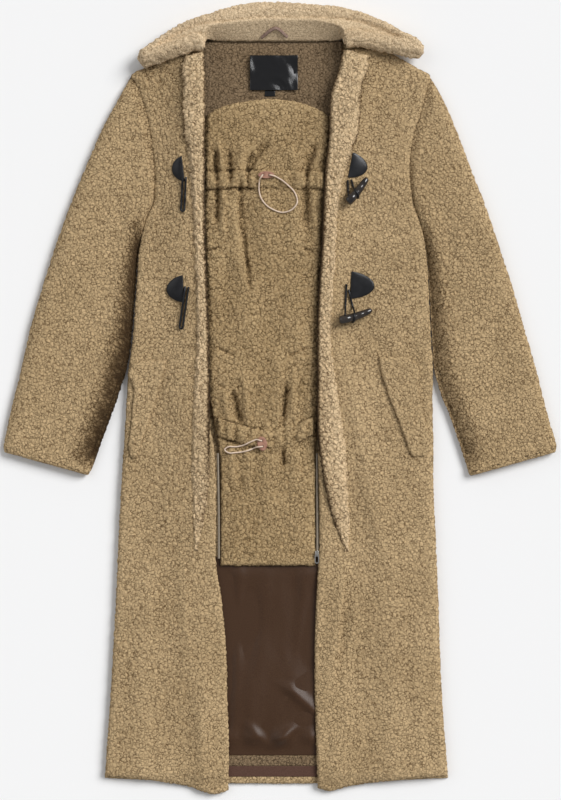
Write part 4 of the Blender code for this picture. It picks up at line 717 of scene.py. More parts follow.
def effect_group(name, inputs, outputs):
    """An empty shader group with named values going in and out."""
    group = bpy.data.node_groups.new(name, "ShaderNodeTree")
    for label, value in inputs.items():
        made = group.interface.new_socket(label, in_out="INPUT", socket_type="NodeSocketFloat")
        made.default_value = value
    for label in outputs:
        group.interface.new_socket(label, in_out="OUTPUT", socket_type="NodeSocketFloat")
    return group, group.nodes.new("NodeGroupInput").outputs, group.nodes.new("NodeGroupOutput").inputs


def object_place(tree, scale=None):
    """Where a point lies on its piece, in metres or times a value from a socket."""
    place = node(tree, "TexCoord").outputs["Object"]
    return place if scale is None else node(tree, "VectorMath", place, operation="SCALE", Scale=scale).outputs[0]


def noise(tree, place, scale=1.0, **values):
    """Smooth noise at a place."""
    return node(tree, "TexNoise", Vector=place, Scale=scale, **values)


def smooth_rise(tree, value, low, high, top=1.0):
    """0 below low, top above high, and a smooth rise between them."""
    return node(tree, "MapRange", interpolation_type="SMOOTHSTEP", Value=value, From_Min=low, From_Max=high,
                To_Max=top).outputs["Result"]


def multiply_add(tree, value, factor, added):
    """A value times a factor, plus another value."""
    return node(tree, "Math", value, factor, added, operation="MULTIPLY_ADD").outputs[0]


def make_curl_group():
    """Curls of pile: clumps parted by thin crevices, from a warped cell pattern in which some clumps merge, with
    fibres over them. Gives their height, a mask that is 0 in the crevices and 1 on the curls, and slow patches
    of shade."""
    group, start, end = effect_group(
        "pile_curls", {"Curls per metre": 235.0, "Fibres per metre": 1500.0, "Patches per metre": 11.0},
        ("Height", "Crevice", "Patches"))
    sized = object_place(group, start["Curls per metre"])
    warp = noise(group, sized, 0.9, Detail=2.0).outputs["Color"]
    warped = node(group, "VectorMath", warp, CURL_WARP, sized, operation="MULTIPLY_ADD").outputs[0]
    cells, centres = (node(group, "TexVoronoi", feature=feature, Vector=warped, Scale=1.0).outputs["Distance"]
                      for feature in ("DISTANCE_TO_EDGE", "F1"))
    open_cells = smooth_rise(group, cells, 0.0, CREVICE_WIDE)
    merged = smooth_rise(group, noise(group, sized, 0.8, Detail=1.0).outputs["Fac"], *CURLS_MERGE)
    curl_mask = node(group, "Math", open_cells, merged, operation="MAXIMUM").outputs[0]
    fibres = noise(group, object_place(group, start["Fibres per metre"]), Detail=3.0, Roughness=0.6)
    round_top = multiply_add(group, centres, -0.7, curl_mask)
    patches = noise(group, object_place(group, start["Patches per metre"]), Detail=2.0)
    join(group, end["Height"], multiply_add(group, fibres.outputs["Fac"], 0.2, round_top))
    join(group, end["Crevice"], curl_mask)
    join(group, end["Patches"], patches.outputs["Fac"])
    return group


def make_grain_group():
    """Small uneven grain, for leather, horn and metal: its height and a value that wanders over the surface."""
    group, start, end = effect_group("grain", {"Grain per metre": 900.0, "Wander per metre": 60.0},
                                     ("Height", "Wander"))
    grain = node(group, "TexVoronoi", Vector=object_place(group, start["Grain per metre"]), Scale=1.0)
    wander = noise(group, object_place(group, start["Wander per metre"]), Detail=3.0)
    join(group, end["Height"], grain.outputs["Distance"])
    join(group, end["Wander"], wander.outputs["Fac"])
    return group


def make_weave_group():
    """A fine plain weave: two crossed waves, and threads of uneven shade."""
    group, start, end = effect_group("weave", {"Threads per metre": 900.0}, ("Height", "Threads"))
    across, along = (
        node(group, "TexWave", bands_direction=direction, Scale=1.0,
             Vector=object_place(group, start["Threads per metre"])).outputs["Fac"] for direction in "XY")
    join(group, end["Height"], node(group, "Math", across, along, operation="ADD").outputs[0])
    join(group, end["Threads"], noise(group, object_place(group), 700.0, Detail=2.0).outputs["Fac"])
    return group


def new_finish(name, roughness, **shader_values):
    """A material with its Principled shader, whose constants are set on its own sockets."""
    material = bpy.data.materials.new(name)
    material.use_nodes = True
    tree = material.node_tree
    shader = tree.nodes["Principled BSDF"]
    for key, value in {"Roughness": roughness, "Metallic": 0.0, **shader_values}.items():
        join(tree, shader.inputs[key.replace("_", " ")], value)
    return material, tree, shader


def ramp(tree, value, *stops):
    """A colour ramp over a value: stops are (place, colour)."""
    made = node(tree, "ValToRGB", value)
    elements = made.color_ramp.elements
    while len(elements) < len(stops):
        elements.new(0.5)
    for element, (place, colour) in zip(elements, stops):
        element.position = place
        element.color = (*colour, 1.0)
    return made.outputs["Color"]


def bump(tree, shader, height_socket, strength, distance):
    """Bump from a height, in metres."""
    made = node(tree, "Bump", Strength=strength, Distance=distance, Height=height_socket)
    join(tree, shader.inputs["Normal"], made.outputs["Normal"])


def placed(tree, group, **values):
    """The outputs of a group placed in a material with its own values."""
    made = tree.nodes.new("ShaderNodeGroup")
    made.node_tree = group
    for key, value in values.items():
        join(tree, made.inputs[key.replace("_", " ")], value)
    return made.outputs


def multiplied(tree, first, second):
    """Two colours multiplied."""
    made = node(tree, "Mix", 1.0, data_type="RGBA", blend_type="MULTIPLY")
    join(tree, made.inputs[6], first)
    join(tree, made.inputs[7], second)
    return made.outputs[2]


def pile_finish(name, crevice, middle, tip, size=235.0, strength=1.0):
    """Curly pile: light curls, thin crevices between them painted dark as shade, and a little painted shade where
    the mesh's own clumps part, in slow patches. The deeper the mesh's attribute lies below 0, as in a fold or by an
    edge, the darker the painted shade."""
    material, tree, shader = new_finish(name, 0.95, Sheen_Weight=0.12, Sheen_Roughness=0.5, Sheen_Tint=tip,
                                        Specular_IOR_Level=0.15)
    pile = placed(tree, CURL_GROUP, Curls_per_metre=size)
    # the mesh's attribute: its curls with the painted shade and light that the pieces added
    clump_and_shade = node(tree, "Attribute", attribute_name="curl").outputs["Fac"]
    # the crevices are painted dark as shade
    fine = node(tree, "Math", pile["Crevice"], 0.7, operation="MULTIPLY").outputs[0]
    colour = ramp(tree, multiply_add(tree, clump_and_shade, 0.3, fine), (0.0, crevice), (0.42, middle), (0.9, tip))
    patches = ramp(tree, pile["Patches"], (0.35, PATCH_SHADE), (0.65, WHITE))
    # painted shade: below 0 the attribute darkens the colour towards SUNK_SHADE
    sunk = node(tree, "MapRange", Value=clump_and_shade, From_Min=-3.0, From_Max=0.0).outputs["Result"]
    colour = multiplied(tree, colour, ramp(tree, sunk, (0.0, SUNK_SHADE), (1.0, WHITE)))
    join(tree, shader.inputs["Base Color"], multiplied(tree, colour, patches))
    bump(tree, shader, pile["Height"], strength, PILE_DEPTH)
    return material


def satin_finish(name, dark, light, roughness, threads=1100.0, shine=0.5):
    """Satin: a fine weave with a soft shine, a little uneven."""
    material, tree, shader = new_finish(name, roughness, Specular_IOR_Level=shine)
    weave = placed(tree, WEAVE_GROUP, Threads_per_metre=threads)
    join(tree, shader.inputs["Base Color"], ramp(tree, weave["Threads"], (0.3, dark), (0.7, light)))
    bump(tree, shader, weave["Height"], 0.12, GRAIN_DEPTH)
    return material


def grained_finish(name, dark, light, roughness, grain=900.0, wander=60.0, strength=0.25, **shader_values):
    """Leather, horn or metal: colour and roughness wander a little, with a fine grain."""
    material, tree, shader = new_finish(name, roughness[0], **shader_values)
    grained = placed(tree, GRAIN_GROUP, Grain_per_metre=grain, Wander_per_metre=wander)
    join(tree, shader.inputs["Base Color"], ramp(tree, grained["Wander"], (0.3, dark), (0.7, light)))
    rough = node(tree, "MapRange", Value=grained["Wander"], To_Min=roughness[0], To_Max=roughness[1])
    join(tree, shader.inputs["Roughness"], rough.outputs["Result"])
    bump(tree, shader, grained["Height"], strength, GRAIN_DEPTH)
    return material


PILE_DEPTH, GRAIN_DEPTH = 0.0011, 0.0002  # of the finishes' relief, in metres
CURL_WARP, CREVICE_WIDE = (1.7, 1.7, 1.7), 0.12
CURLS_MERGE = (0.44, 0.68, 0.62)  # from where to where of their noise, and how far
# SUNK_SHADE is the colour of the deepest painted shade, in folds and by edges
WHITE, PATCH_SHADE, SUNK_SHADE = (1.0, 1.0, 1.0), (0.88, 0.87, 0.85), (0.10, 0.08, 0.06)
CURL_GROUP, GRAIN_GROUP, WEAVE_GROUP = make_curl_group(), make_grain_group(), make_weave_group()
# Crevice, middle and tip colours. The strips' and the collar's piles are lighter than the coat's, partly their own
# tone and partly painted light; the inside's pile is darker, partly its own tone and partly painted shade.
COAT_PILE = pile_finish("coat_pile", (0.150, 0.086, 0.036), (0.415, 0.290, 0.154), (0.560, 0.404, 0.224), 205.0)
STRIP_PILE = pile_finish("strip_pile", (0.16, 0.094, 0.044), (0.50, 0.357, 0.204), (0.71, 0.532, 0.324), 170.0)
INSERT_PILE = pile_finish("insert_pile", (0.115, 0.067, 0.027), (0.345, 0.234, 0.114), (0.49, 0.348, 0.183), 190.0)
INSIDE_PILE = pile_finish("inside_pile", (0.06, 0.036, 0.018), (0.180, 0.122, 0.069), (0.26, 0.182, 0.108), 210.0)
COLLAR_PILE = pile_finish("collar_pile", (0.25, 0.165, 0.09), (0.56, 0.412, 0.255), (0.72, 0.555, 0.36), 240.0, 0.7)
LINING_SATIN = satin_finish("lining_satin", (0.044, 0.019, 0.008), (0.064, 0.031, 0.014), 0.38, shine=0.28)
LABEL_SATIN = satin_finish("label_satin", (0.003, 0.003, 0.004), (0.006, 0.006, 0.007), 0.2, threads=2400.0)
BINDING = satin_finish("binding_tape", (0.072, 0.034, 0.022), (0.108, 0.056, 0.040), 0.7, 1600.0, shine=0.2)
HANGER_TAPE = satin_finish("hanger_tape", (0.20, 0.125, 0.095), (0.31, 0.21, 0.165), 0.7, threads=1600.0)
ZIP_TAPE = satin_finish("zip_tape", (0.20, 0.165, 0.12), (0.30, 0.25, 0.19), 0.7, threads=1300.0)
LEATHER = grained_finish("black_leather", (0.005, 0.005, 0.006), (0.012, 0.012, 0.014), (0.24, 0.34),
                         Specular_IOR_Level=0.35)
HORN_FINISH = grained_finish("dark_horn", (0.006, 0.005, 0.005), (0.035, 0.026, 0.020), (0.10, 0.22), 300.0, 90.0,
                             0.06, Coat_Weight=0.7, Coat_Roughness=0.05, Specular_IOR_Level=0.3)
STOP_LEATHER = grained_finish("stop_leather", (0.26, 0.12, 0.08), (0.42, 0.22, 0.15), (0.42, 0.55), wander=220.0)
ELASTIC_FINISH = grained_finish("cream_elastic", (0.62, 0.47, 0.36), (0.78, 0.63, 0.50), (0.6, 0.8), 1900.0, 300.0,
                                0.6)
METAL = grained_finish("zip_metal", (0.42, 0.40, 0.37), (0.62, 0.60, 0.56), (0.22, 0.38), 1500.0, 500.0, 0.1,
                       Metallic=1.0)

# ---------------------------------------------------------------- body
def make_back():
    """The back: rows from hem to neck, columns from side to side, its hem bowed down in the middle."""
    row_way, row_high = over_edges(NECK - BACK_HEM, BACK_PITCH, EDGE_ROUND)
    rows = BACK_HEM + row_way[0]
    left, right = body_edge("left", rows), body_edge("right", rows)
    way, high = over_edges(right - left, BACK_PITCH, EDGE_ROUND)
    x = left[:, None] + way
    low = 1 - step(BACK_HEM, BACK_HEM + HEM_EASE, rows)[:, None]
    y = rows[:, None] - BACK_BOW * low * np.sin(np.pi * way / (right - left)[:, None])
    over = grid(x, y, BACK_TOP * row_high[:, None] * high)
    over, curl = with_pile(over, COAT_CURL, 0.6)
    over[..., 2] = np.maximum(over[..., 2], 0.0)
    return close_under("back_cloth", over, 0.0, curl, COAT_PILE, ["back"])


def make_front(side):
    """A front: rows from hem to shoulder, columns from the side seam to the front edge. Its side is drawn down
    to the back's edge, its front edge is lifted on the insert, and its hem hangs lower towards the front."""
    sign = 1.0 if side == "left" else -1.0
    row_way, row_high = over_edges(FRONT_TOP - FRONT_HEM, PITCH, EDGE_ROUND)
    rows = FRONT_HEM + row_way[0]
    outer, inner = body_edge(side, rows), front_edge(side, rows)
    wide = np.abs(inner - outer)
    way, high = over_edges(wide, PITCH, EDGE_ROUND)
    x = outer[:, None] + sign * way
    drop = smooth(HEM_DROP[side].share, HEM_DROP[side].y, way / wide[:, None])
    y = rows[:, None] + drop * (1 - step(FRONT_HEM, FRONT_HEM + HEM_EASE, rows)[:, None])
    seam = SEAM_DRAW * (1 - step(0.0, SEAM_REACH, way))
    droop = HEM_DROOP * step(*DROOP_BETWEEN, DROOP_FROM - y)
    under = front_under(side, x, y) - seam - droop + creases(FRONT_CREASES[side], x, y)
    over = grid(x, y, under + TEDDY * row_high[:, None] * high)
    over, curl = with_pile(over, COAT_CURL)
    strip = STRIPS[side]
    by_strip = np.exp(-((x - smooth(strip.y, strip.outer, y)) / GAP_WIDE) ** 2) * step(*SLAB_BETWEEN, y)
    near_collar = np.full(x.shape, FAR)
    for edge_x, edge_y in zip(COLLAR.edge_x, COLLAR.edge_y):
        near_collar = np.minimum(near_collar, np.hypot(x - edge_x, y - edge_y))
    # painted shade along the strip's outer edge, and a painted shadow under the collar's edge
    shaded = curl - 0.5 * GAP_SHADE * by_strip - COLLAR_SHADE * np.exp(-((near_collar / COLLAR_SHADE_WIDE) ** 2))
    return close_under("front_cloth_" + side, over, np.maximum(under + 0.5, 0.5), shaded, COAT_PILE,
                       ["front_" + side])


def make_strip(side):
    """The front's edge turned back as a strip: a slab with a rough free edge above, which wraps the front's edge,
    and further down a soft roll that dies out in the front."""
    strip = STRIPS[side]
    sign = 1.0 if side == "left" else -1.0
    low, top = strip.y[0], strip.y[-1]
    row_way, row_high = over_edges(top - low, FINE_PITCH, EDGE_ROUND)
    rows = low + row_way[0]
    outer, fold = smooth(strip.y, strip.outer, rows), smooth(strip.y, strip.fold, rows)
    wide = np.abs(fold - outer)
    way, high = over_edges(wide, FINE_PITCH, STRIP_ROUND)
    ragged = drifts(grid(rows, 0.0, 0.0), STRIP_RAGGED)
    x = outer[:, None] + sign * (way + ragged[:, None] * (1 - step(0, STRIP_ROUGH, way)))
    slope = STRIP_SLOPE * (wide[:, None] - way) * step(top - STRIP_HEAD, top, rows)[:, None]
    y = rows[:, None] - slope
    wrap = step(WRAP_NONE, WRAP_FULL, rows)[:, None]
    slab = step(*SLAB_BETWEEN, rows)[:, None]
    share = way / wide[:, None]
    inner_side = share > 0.5
    roll = step(*ROLL_RISE, share)
    level = np.where(inner_side, high, slab * high + (1 - slab) * roll)
    ends = (0.35 + 0.65 * step(*STRIP_TAIL, rows - low)) * row_high
    ground = front_under(side, np.where(inner_side & (wrap > 0.5), front_edge(side, y) - sign * 1.0, x), y)
    ground = front_under(side, x, y) * (1 - wrap * inner_side) + ground * wrap * inner_side
    base = ground + TEDDY + SEAM_GAP - STRIP_SUNK
    base = np.where(inner_side, base - wrap * (TEDDY + SEAM_GAP + 0.5), base)
    base = base - OUTER_SINK * (1 - slab) * (1 - step(0.05, 0.3, share))
    crown = STRIP_CROWN * np.sin(np.pi * np.clip(share, 0, 1)) ** 0.8 * slab
    crest = ground + TEDDY + SEAM_GAP + (STRIP_THICK - 2.0 + crown - 1.2 * (1 - slab)) * ends[:, None]
    over = grid(x, y, base + (crest - base) * level)
    over, curl = with_pile(over, STRIP_CURL)
    # painted shade along the strip's edges, and on the roll's side towards the opening
    deep = INNER_SHADE[side] + (1 - INNER_SHADE[side]) * step(-160.0, -40.0, rows)[:, None]
    by_edge = 0.5 * slab * (1 - step(0.0, 4.0, way)) + 1.2 * deep * (1 - step(0.0, 6.0, wide[:, None] - way))
    curl = curl - GAP_SHADE * by_edge
    curl = curl - ROLL_SHADE * (1 - slab) * step(0.6, 1.0, share) * step(low, low + 60.0, rows)[:, None]
    floor = front_under(side, x, y) + TEDDY - STRIP_SUNK
    return close_under("strip_cloth_" + side, over, floor, curl, STRIP_PILE, ["facing_" + side])


def ring_ways(length, radius, turns, count):
    """Ways across each ring of a sleeve: points round the first edge, even ones between, points round the other.
    turns says how far round an edge each point lies, in degrees."""
    turned_way = radius * (1 - np.sin(np.radians(turns)))
    return np.concatenate([np.broadcast_to(turned_way, (len(length), len(turned_way))),
                           radius + (length - 2 * radius) * np.linspace(0, 1, count),
                           length - turned_way[::-1]], axis=1)


def make_sleeve(side):
    """A sleeve: rings from the armhole to the cuff, round its edge and back inside. Each ring's upper side is an
    arch with wide round shoulders, and its lower side lies flat."""
    sleeve = SLEEVES[side]
    sign = -1.0 if side == "left" else 1.0
    outer, inner = points_of(sleeve, "outer_x", "outer_y"), points_of(sleeve, "inner_x", "inner_y")
    stations = np.arange(len(outer), dtype=float)
    way = way_along((outer + inner) / 2)
    count = int(way[-1] / PITCH)
    turn, inside_at = CUFF_TURN, np.linspace(stations[-1], 0.0, INSIDE_RINGS)
    at = np.interp(np.linspace(0, way[-1], count), way, stations)
    at = np.concatenate([at, np.full(len(turn), stations[-1]), inside_at])
    past_cuff = np.concatenate([np.zeros(count), CUFF_ROUND * np.sin(turn), np.zeros(len(inside_at))])
    sink = np.concatenate([np.zeros(count), 0.5 - 0.5 * np.cos(turn), np.ones(len(inside_at))])

    edge_out, edge_in = smooth_line(stations, outer, at), smooth_line(stations, inner, at)
    arch = smooth(stations, sleeve.high, at)[:, None]
    length = np.linalg.norm(edge_in - edge_out, axis=1)[:, None]
    top_way = ring_ways(length, SLEEVE_ROUND_TOP, SLEEVE_TOP_TURN, int(length.max() / PITCH))
    base_way = ring_ways(length, SLEEVE_ROUND_BASE, SLEEVE_BASE_TURN, BASE_POINTS)[:, ::-1]
    around = np.concatenate([top_way, base_way], axis=1)
    is_top = np.arange(around.shape[1]) < top_way.shape[1]
    share = around / length
    plan = edge_out[:, None] + (edge_in - edge_out)[:, None] * share[..., None]
    # the armhole's end follows the body's edge, and the cuff's rings go past it along the sleeve
    straight = outer[0, 0] + (inner[0, 0] - outer[0, 0]) * share
    seam_y = outer[0, 1] + (inner[0, 1] - outer[0, 1]) * share
    calm = np.clip(1 - at / 7.0, 0, 1)[:, None] ** 2
    plan[..., 0] += (body_edge(side, seam_y) - sign * 0.8 - straight) * calm
    plan += past_cuff[:, None, None] * np.array([sign * SLEEVE_LEAN, -1.0])

    edge_way = np.minimum(around, length - around)
    middle = SLEEVE_MIDDLE * arch
    top = middle + (arch - middle) * rounded(edge_way, SLEEVE_ROUND_TOP)
    base = middle * (1 - rounded(edge_way, SLEEVE_ROUND_BASE))
    body_side = 1 - step(0.0, SLEEVE_FALL_WIDE, length - around)
    along = (step(1.0, 3.0, at) * (1 - step(len(outer) - 3.0, len(outer) - 1.0, at)))[:, None]
    top = np.maximum(top - SLEEVE_INNER_FALL * body_side * along, base + 1.0)
    armhole = SLEEVE_SEAM_DIP * (1 - step(0.0, 0.55, at))[:, None]
    top = top - armhole + creases(SLEEVE_CREASES[side], plan[..., 0], plan[..., 1])
    z = np.where(is_top, top, base)
    # the inner side lies a cloth's thickness inside the outer one
    inner_z = np.where(is_top, np.maximum(top - TEDDY, middle + 0.6), np.minimum(base + TEDDY, middle - 0.6))
    inner_z = np.where(is_top, np.minimum(inner_z, top), inner_z)
    z = z + (inner_z - z) * sink[:, None]
    drawn = np.clip(around, TEDDY, length - TEDDY) / length
    plan += (edge_in - edge_out)[:, None] * ((drawn - share) * sink[:, None])[..., None]

    points = grid(plan[..., 0], plan[..., 1], z)
    outside = np.concatenate([points, points[:, :1]], axis=1)
    normals = grid_normals(outside)[:, :-1] * -sign
    pattern = curls(points, COAT_CURL.size, COAT_CURL.seed)
    # painted shadow of the body on the sleeve's side next to it, and painted shade along the armhole
    shade_side = 1 - step(8.0, 50.0, length - around)
    shaded = pattern - SLEEVE_SHADE[side] * shade_side * along - ARMHOLE_SHADE * (1 - step(0.0, 0.5, at))[:, None]
    lift = (pattern - CURL_MIDDLE) * COAT_CURL.high * np.where(is_top, 1.0, 0.0) * (1 - sink)[:, None]
    points = points + normals * lift[..., None]
    points[..., 2] = np.maximum(points[..., 2], 0.0)
    index = np.pad(np.arange(points[..., 0].size).reshape(points.shape[:2]), ((0, 1), (0, 1)), mode="wrap")
    if side == "right":
        index = index[:, ::-1]
    mesh = mesh_of("sleeve_cloth_" + side, points, quads(index).tolist(), shaded.ravel())
    return add_piece("sleeve_cloth_" + side, mesh, COAT_PILE, ["sleeve_" + side])


# ---------------------------------------------------------------- insert
def insert_level(x, y):
    """How high the insert's upper side lies, away from its rim: a crowned base with its ridges and troughs, lower
    along its sides, and never down to the back."""
    left, right = insert_sides(np.minimum(y, INSERT.y[-1]))
    share = np.clip((x - left) / (right - left), 0, 1)
    to_side = np.clip(np.minimum(x - left, right - x), 0, None)
    fall = INSERT_EDGE_FALL * (1 - step(0.0, EDGE_FALL_WIDE, to_side)) * step(120, 180, y)
    darts = np.zeros(np.broadcast(x, y).shape)
    for x0, y0, x1, y1 in zip(*vars(DARTS).values()):
        along = np.clip((x - x0) / (x1 - x0), 0, 1)
        away = np.hypot(x - x0 - (x1 - x0) * along, y - y0 - (y1 - y0) * along)
        darts += DART_DEEP * np.exp(-(away / DART_WIDE) ** 2)
    folds = GATHER_DEPTH * creases(INSERT_CREASES, x, y) + INSERT_CROWN * np.sin(np.pi * share)
    base = smooth(INSERT_BASE.y, INSERT_BASE.z, y) + TEDDY
    return np.maximum(base + step(0.0, 8.0, to_side) * folds - darts - fall, base - TEDDY + 1.2)


def seam_shade_strength(x):
    """How strong the painted shade along a channel's seams is: most at its sides, hardly in its middle, and uneven.
    """
    uneven = step(-0.6, 0.5, drift(grid(x, 0.0, 0.0), 11.0, 66))
    return (0.15 + 0.85 * from_middle(16.0, 46.0, x)) * (0.25 + 0.75 * uneven)


def make_insert():
    """The nursing insert: rows up to its arched top edge, which the upper rows close in on."""
    low, top = INSERT.y[0], INSERT.y[-1]
    row_way, row_high = over_edges(top - low, FINE_PITCH, EDGE_ROUND)
    rows = low + row_way[0]
    left, right = insert_sides(rows)
    way, high = over_edges(right - left, FINE_PITCH, EDGE_ROUND)
    x = left[:, None] + way
    arch = smooth(INSERT_TOP.x, INSERT_TOP.y, x) - top
    y = rows[:, None] + arch * step(top - 70, top, rows)[:, None]
    under = smooth(INSERT_BASE.y, INSERT_BASE.z, y) + 0.2
    over = grid(x, y, under + (insert_level(x, y) - under) * row_high[:, None] * high)
    over, curl = with_pile(over, INSERT_CURL)
    # painted shade beside the strips and along the channels' seams
    near_strip = np.minimum(*(np.abs(x - smooth(strip.y, strip.fold, y)) for strip in STRIPS.values()))
    curl = curl - 1.2 * GAP_SHADE * np.exp(-(near_strip / 5.0) ** 2)
    for channel in CHANNELS.values():
        middle = channel_line(channel, (x - left[:, None]) / (right - left)[:, None])
        beside = np.exp(-((np.abs(y - middle) - channel.width / 2 - 0.5) / 2.4) ** 2)
        curl = curl - 0.9 * GAP_SHADE * beside * seam_shade_strength(x)
    return close_under("insert_cloth", over, under, curl, INSERT_PILE, ["insert"])


def make_channel(name):
    """A draw-cord channel: a band across the insert that bulges between its troughs, sunk along both seams."""
    channel, troughs = CHANNELS[name], CHANNEL_TROUGHS[name]
    left, right = insert_sides(np.array([channel.side]))
    left, right = left[0] + 5.0, right[0] - 5.0
    way, high = over_edges(right - left, FINE_PITCH, CHANNEL_ROUND)
    x = left + way[0]
    middle = channel_line(channel, way[0] / (right - left))
    across, across_high = over_edges(channel.width, FINE_PITCH, CHANNEL_ROUND)
    wobble = drifts(grid(x, 0.0, 0.0), CHANNEL_WOBBLE)
    y = middle + wobble + (across[0] - channel.width / 2)[:, None]
    share = np.abs(across[0] - channel.width / 2)[:, None] / (channel.width / 2)
    bulge = np.sqrt(np.clip(1 - share ** 2.2, 0, 1))
    fullness = 0.45 + 0.55 * from_middle(20.0, 46.0, x)
    draw = sum(deep * np.exp(-((x - at) / wide) ** 2) for at, wide, deep in zip(*vars(troughs).values()))
    ground = insert_level(x, y) - CHANNEL_BASE
    rise = 0.3 + np.maximum(CHANNEL_HIGH * fullness - draw, 0.4) * bulge
    over = grid(x, y, ground + CHANNEL_BASE * across_high[:, None] * high + rise * high * across_high[:, None])
    over, curl = with_pile(over, INSERT_CURL)
    # painted shade along both seams
    to_seam = (1 - share) * channel.width / 2
    curl = curl - 1.2 * GAP_SHADE * (1 - step(0.0, 3.6, to_seam)) * seam_shade_strength(x)
    return close_under("channel_cloth_" + name, over, ground, curl, INSERT_PILE, ["channel_" + name])


# ---------------------------------------------------------------- collar
def make_collar():
    """The collar: its stand rises to the roll, and its fall comes down over the shoulders. It is smooth above,
    with a thick curly rim along its edge. Columns run round the neck, rows from the inner to the outer edge."""
    count = len(COLLAR.down)
    way = way_along(points_of(COLLAR, "edge_x", "edge_y"))
    turn_way, turn_high = over_edges(way[-1], COLLAR_PITCH, EDGE_ROUND)
    at = np.interp(turn_way[0], way, np.arange(count))
    column = SimpleNamespace(**{key: smooth(np.arange(count), value, at) for key, value in vars(COLLAR).items()})
    inner, roll, edge = (points_of(column, name + "_x", name + "_y") for name in ("inner", "roll", "edge"))
    inner[:, 1] -= COLLAR_OVERLAP * column.down
    stand, fall = np.linspace(0, 1, STAND_ROWS + 1)[:-1], np.linspace(0, 1, FALL_ROWS)
    down = np.clip(column.down, 0, 1)
    plan = np.concatenate([inner + (roll - inner) * stand[:, None, None],
                           roll + (edge - roll) * np.append(fall, COLLAR_TURN.out)[:, None, None]])
    ragged = drifts(grid(plan[..., 0], plan[..., 1], 0.0), COLLAR_RAGGED)
    outward = (edge - roll) / np.linalg.norm(edge - roll, axis=1, keepdims=True)
    share_out = np.concatenate([0 * stand, fall, COLLAR_TURN.out])[:, None]
    x, y = (plan[..., k] + outward[:, k] * ragged * share_out ** 4 for k in (0, 1))
    below = np.where(x < 0, front_under("left", x, y), front_under("right", x, y)) + TEDDY + 1.0
    below = below * (1 - down)

    # heights of the stand, the fall and the turn under its edge, all drawn down at the collar's two ends
    on_fall, on_turn = slice(len(stand), len(stand) + len(fall)), slice(len(stand) + len(fall), None)
    foot = 2.5 + np.maximum(below[:1] + 5.0, COLLAR_FOOT * down + COLLAR_FOOT_WING * (1 - down))
    z_stand = foot + (column.roll_z - foot) * stand[:, None]
    z_fall = column.roll_z + (column.edge_z - column.roll_z) * fall[:, None] ** FALL_BEND
    to_edge = (1 - fall)[:, None] * np.linalg.norm(edge - roll, axis=1)
    z_fall = below[on_fall] + (z_fall - below[on_fall]) * (0.5 + 0.5 * rounded(to_edge, COLLAR_EDGE_ROUND))
    z_turn = below[on_turn] + (z_fall[-1:] - below[on_turn]) * COLLAR_TURN.level[:, None]
    z = np.concatenate([z_stand, z_fall, z_turn])
    z = below + (z - below) * (COLLAR_LOW + (1 - COLLAR_LOW) * turn_high)
    over = grid(x, y, z)

    # the curly rim runs along the edge and round both ends
    rim_way = np.concatenate([np.full((len(stand), len(at)), FAR), to_edge, np.zeros((2, len(at)))])
    for end in (0, -1):
        beside = to_line(x, y, roll[end] + (edge[end] - roll[end]) * 0.12, edge[end])
        rim_way[len(stand):] = np.minimum(rim_way[len(stand):], beside[len(stand):])
    rim = 1 - step(*(RIM_WIDE * share for share in RIM_FADE), rim_way)
    smooth_pattern = curls(over, COLLAR_CURL.size, COLLAR_CURL.seed)
    rim_pattern = curls(over, RIM_CURL.size, RIM_CURL.seed)
    lift = (rim_pattern - 0.35) * RIM_CURL.high * rim
    lift = lift + (smooth_pattern - CURL_MIDDLE) * COLLAR_CURL.high * (1 - rim)
    swell = RIM_SWELL * np.sin(np.pi * np.clip(rim_way / RIM_WIDE, 0, 1)) ** 0.8
    swell = swell - RIM_GROOVE * np.exp(-((rim_way - RIM_WIDE) / GROOVE_WIDE) ** 2)
    over = over + grid_normals(over) * (lift + swell)[..., None]
    curl = rim_pattern * rim + (0.72 + 0.28 * smooth_pattern) * (1 - rim)

    # the underside is further down along the rim and the inner edge, where a coarse grid would poke through
    inner_way = np.append(stand, np.ones(len(fall) + 2))[:, None] * np.linalg.norm(roll - inner, axis=1)
    shell = COLLAR_SHELL
    for way_in, (more, wide) in ((rim_way, RIM_SHELL), (inner_way, FOOT_SHELL)):
        shell = shell + more * (1 - step(0, wide, way_in))
    under = np.maximum(below + 0.3, z - shell)
    return close_under("collar_cloth", over, under, curl, COLLAR_PILE, ["collar"])


# ---------------------------------------------------------------- flat pieces
def make_flat(name, box, base, thick, finish, nodes, pitch=5.0, relief=None, curl=None, pile=0.0):
    """A rectangle of cloth at one height, with an optional relief as a function of x and y."""
    radius = min(1.2 * thick, 6.0)
    row_way, row_high = over_edges(box.high - box.low, pitch, radius)
    way, high = over_edges(box.right - box.left, pitch, radius)
    x, y = box.left + way, box.low + row_way[0][:, None]
    rise = 0.0 if relief is None else relief(x, y)
    over = grid(x, y, base + rise + thick * row_high[:, None] * high)
    pattern = None
    if curl is not None:
        over, pattern = with_pile(over, curl, pile)
    return close_under(name, over, base + rise, pattern, finish, nodes)


def lining_relief(x, y):
    """Soft folds of the lining, and small wrinkles between them, flat along its edges."""
    to_side = np.minimum(x - LINING.left, LINING.right - x)
    inside = np.minimum(to_side, np.minimum(y - LINING.low, LINING.high - y))
    places = grid(x, y * 0.45, 0.0)
    low_folds = 2.2 * np.exp(-((y - LINING.low - 26.0) / 15.0) ** 2) * (1 + np.sin(0.14 * x + 0.9))
    wrinkles = drifts(places, LINING_WRINKLES) + low_folds
    return np.maximum(ridges(LINING_FOLDS, x, y) + 0.8 + wrinkles, 0.0) * step(4, 30, inside)


def label_relief(x, y):
    """The label's soft waves, which catch the light in slanting bands."""
    places = grid(x, y, 0.0)
    fade = step(-0.4, 0.5, drift(places, 30.0, 73))
    waves = np.sin((0.82 * x + 0.57 * y + drifts(places, LABEL_BEND)) * 0.18)
    return 3.0 + 2.5 * fade * waves + drifts(places, LABEL_WRINKLES)


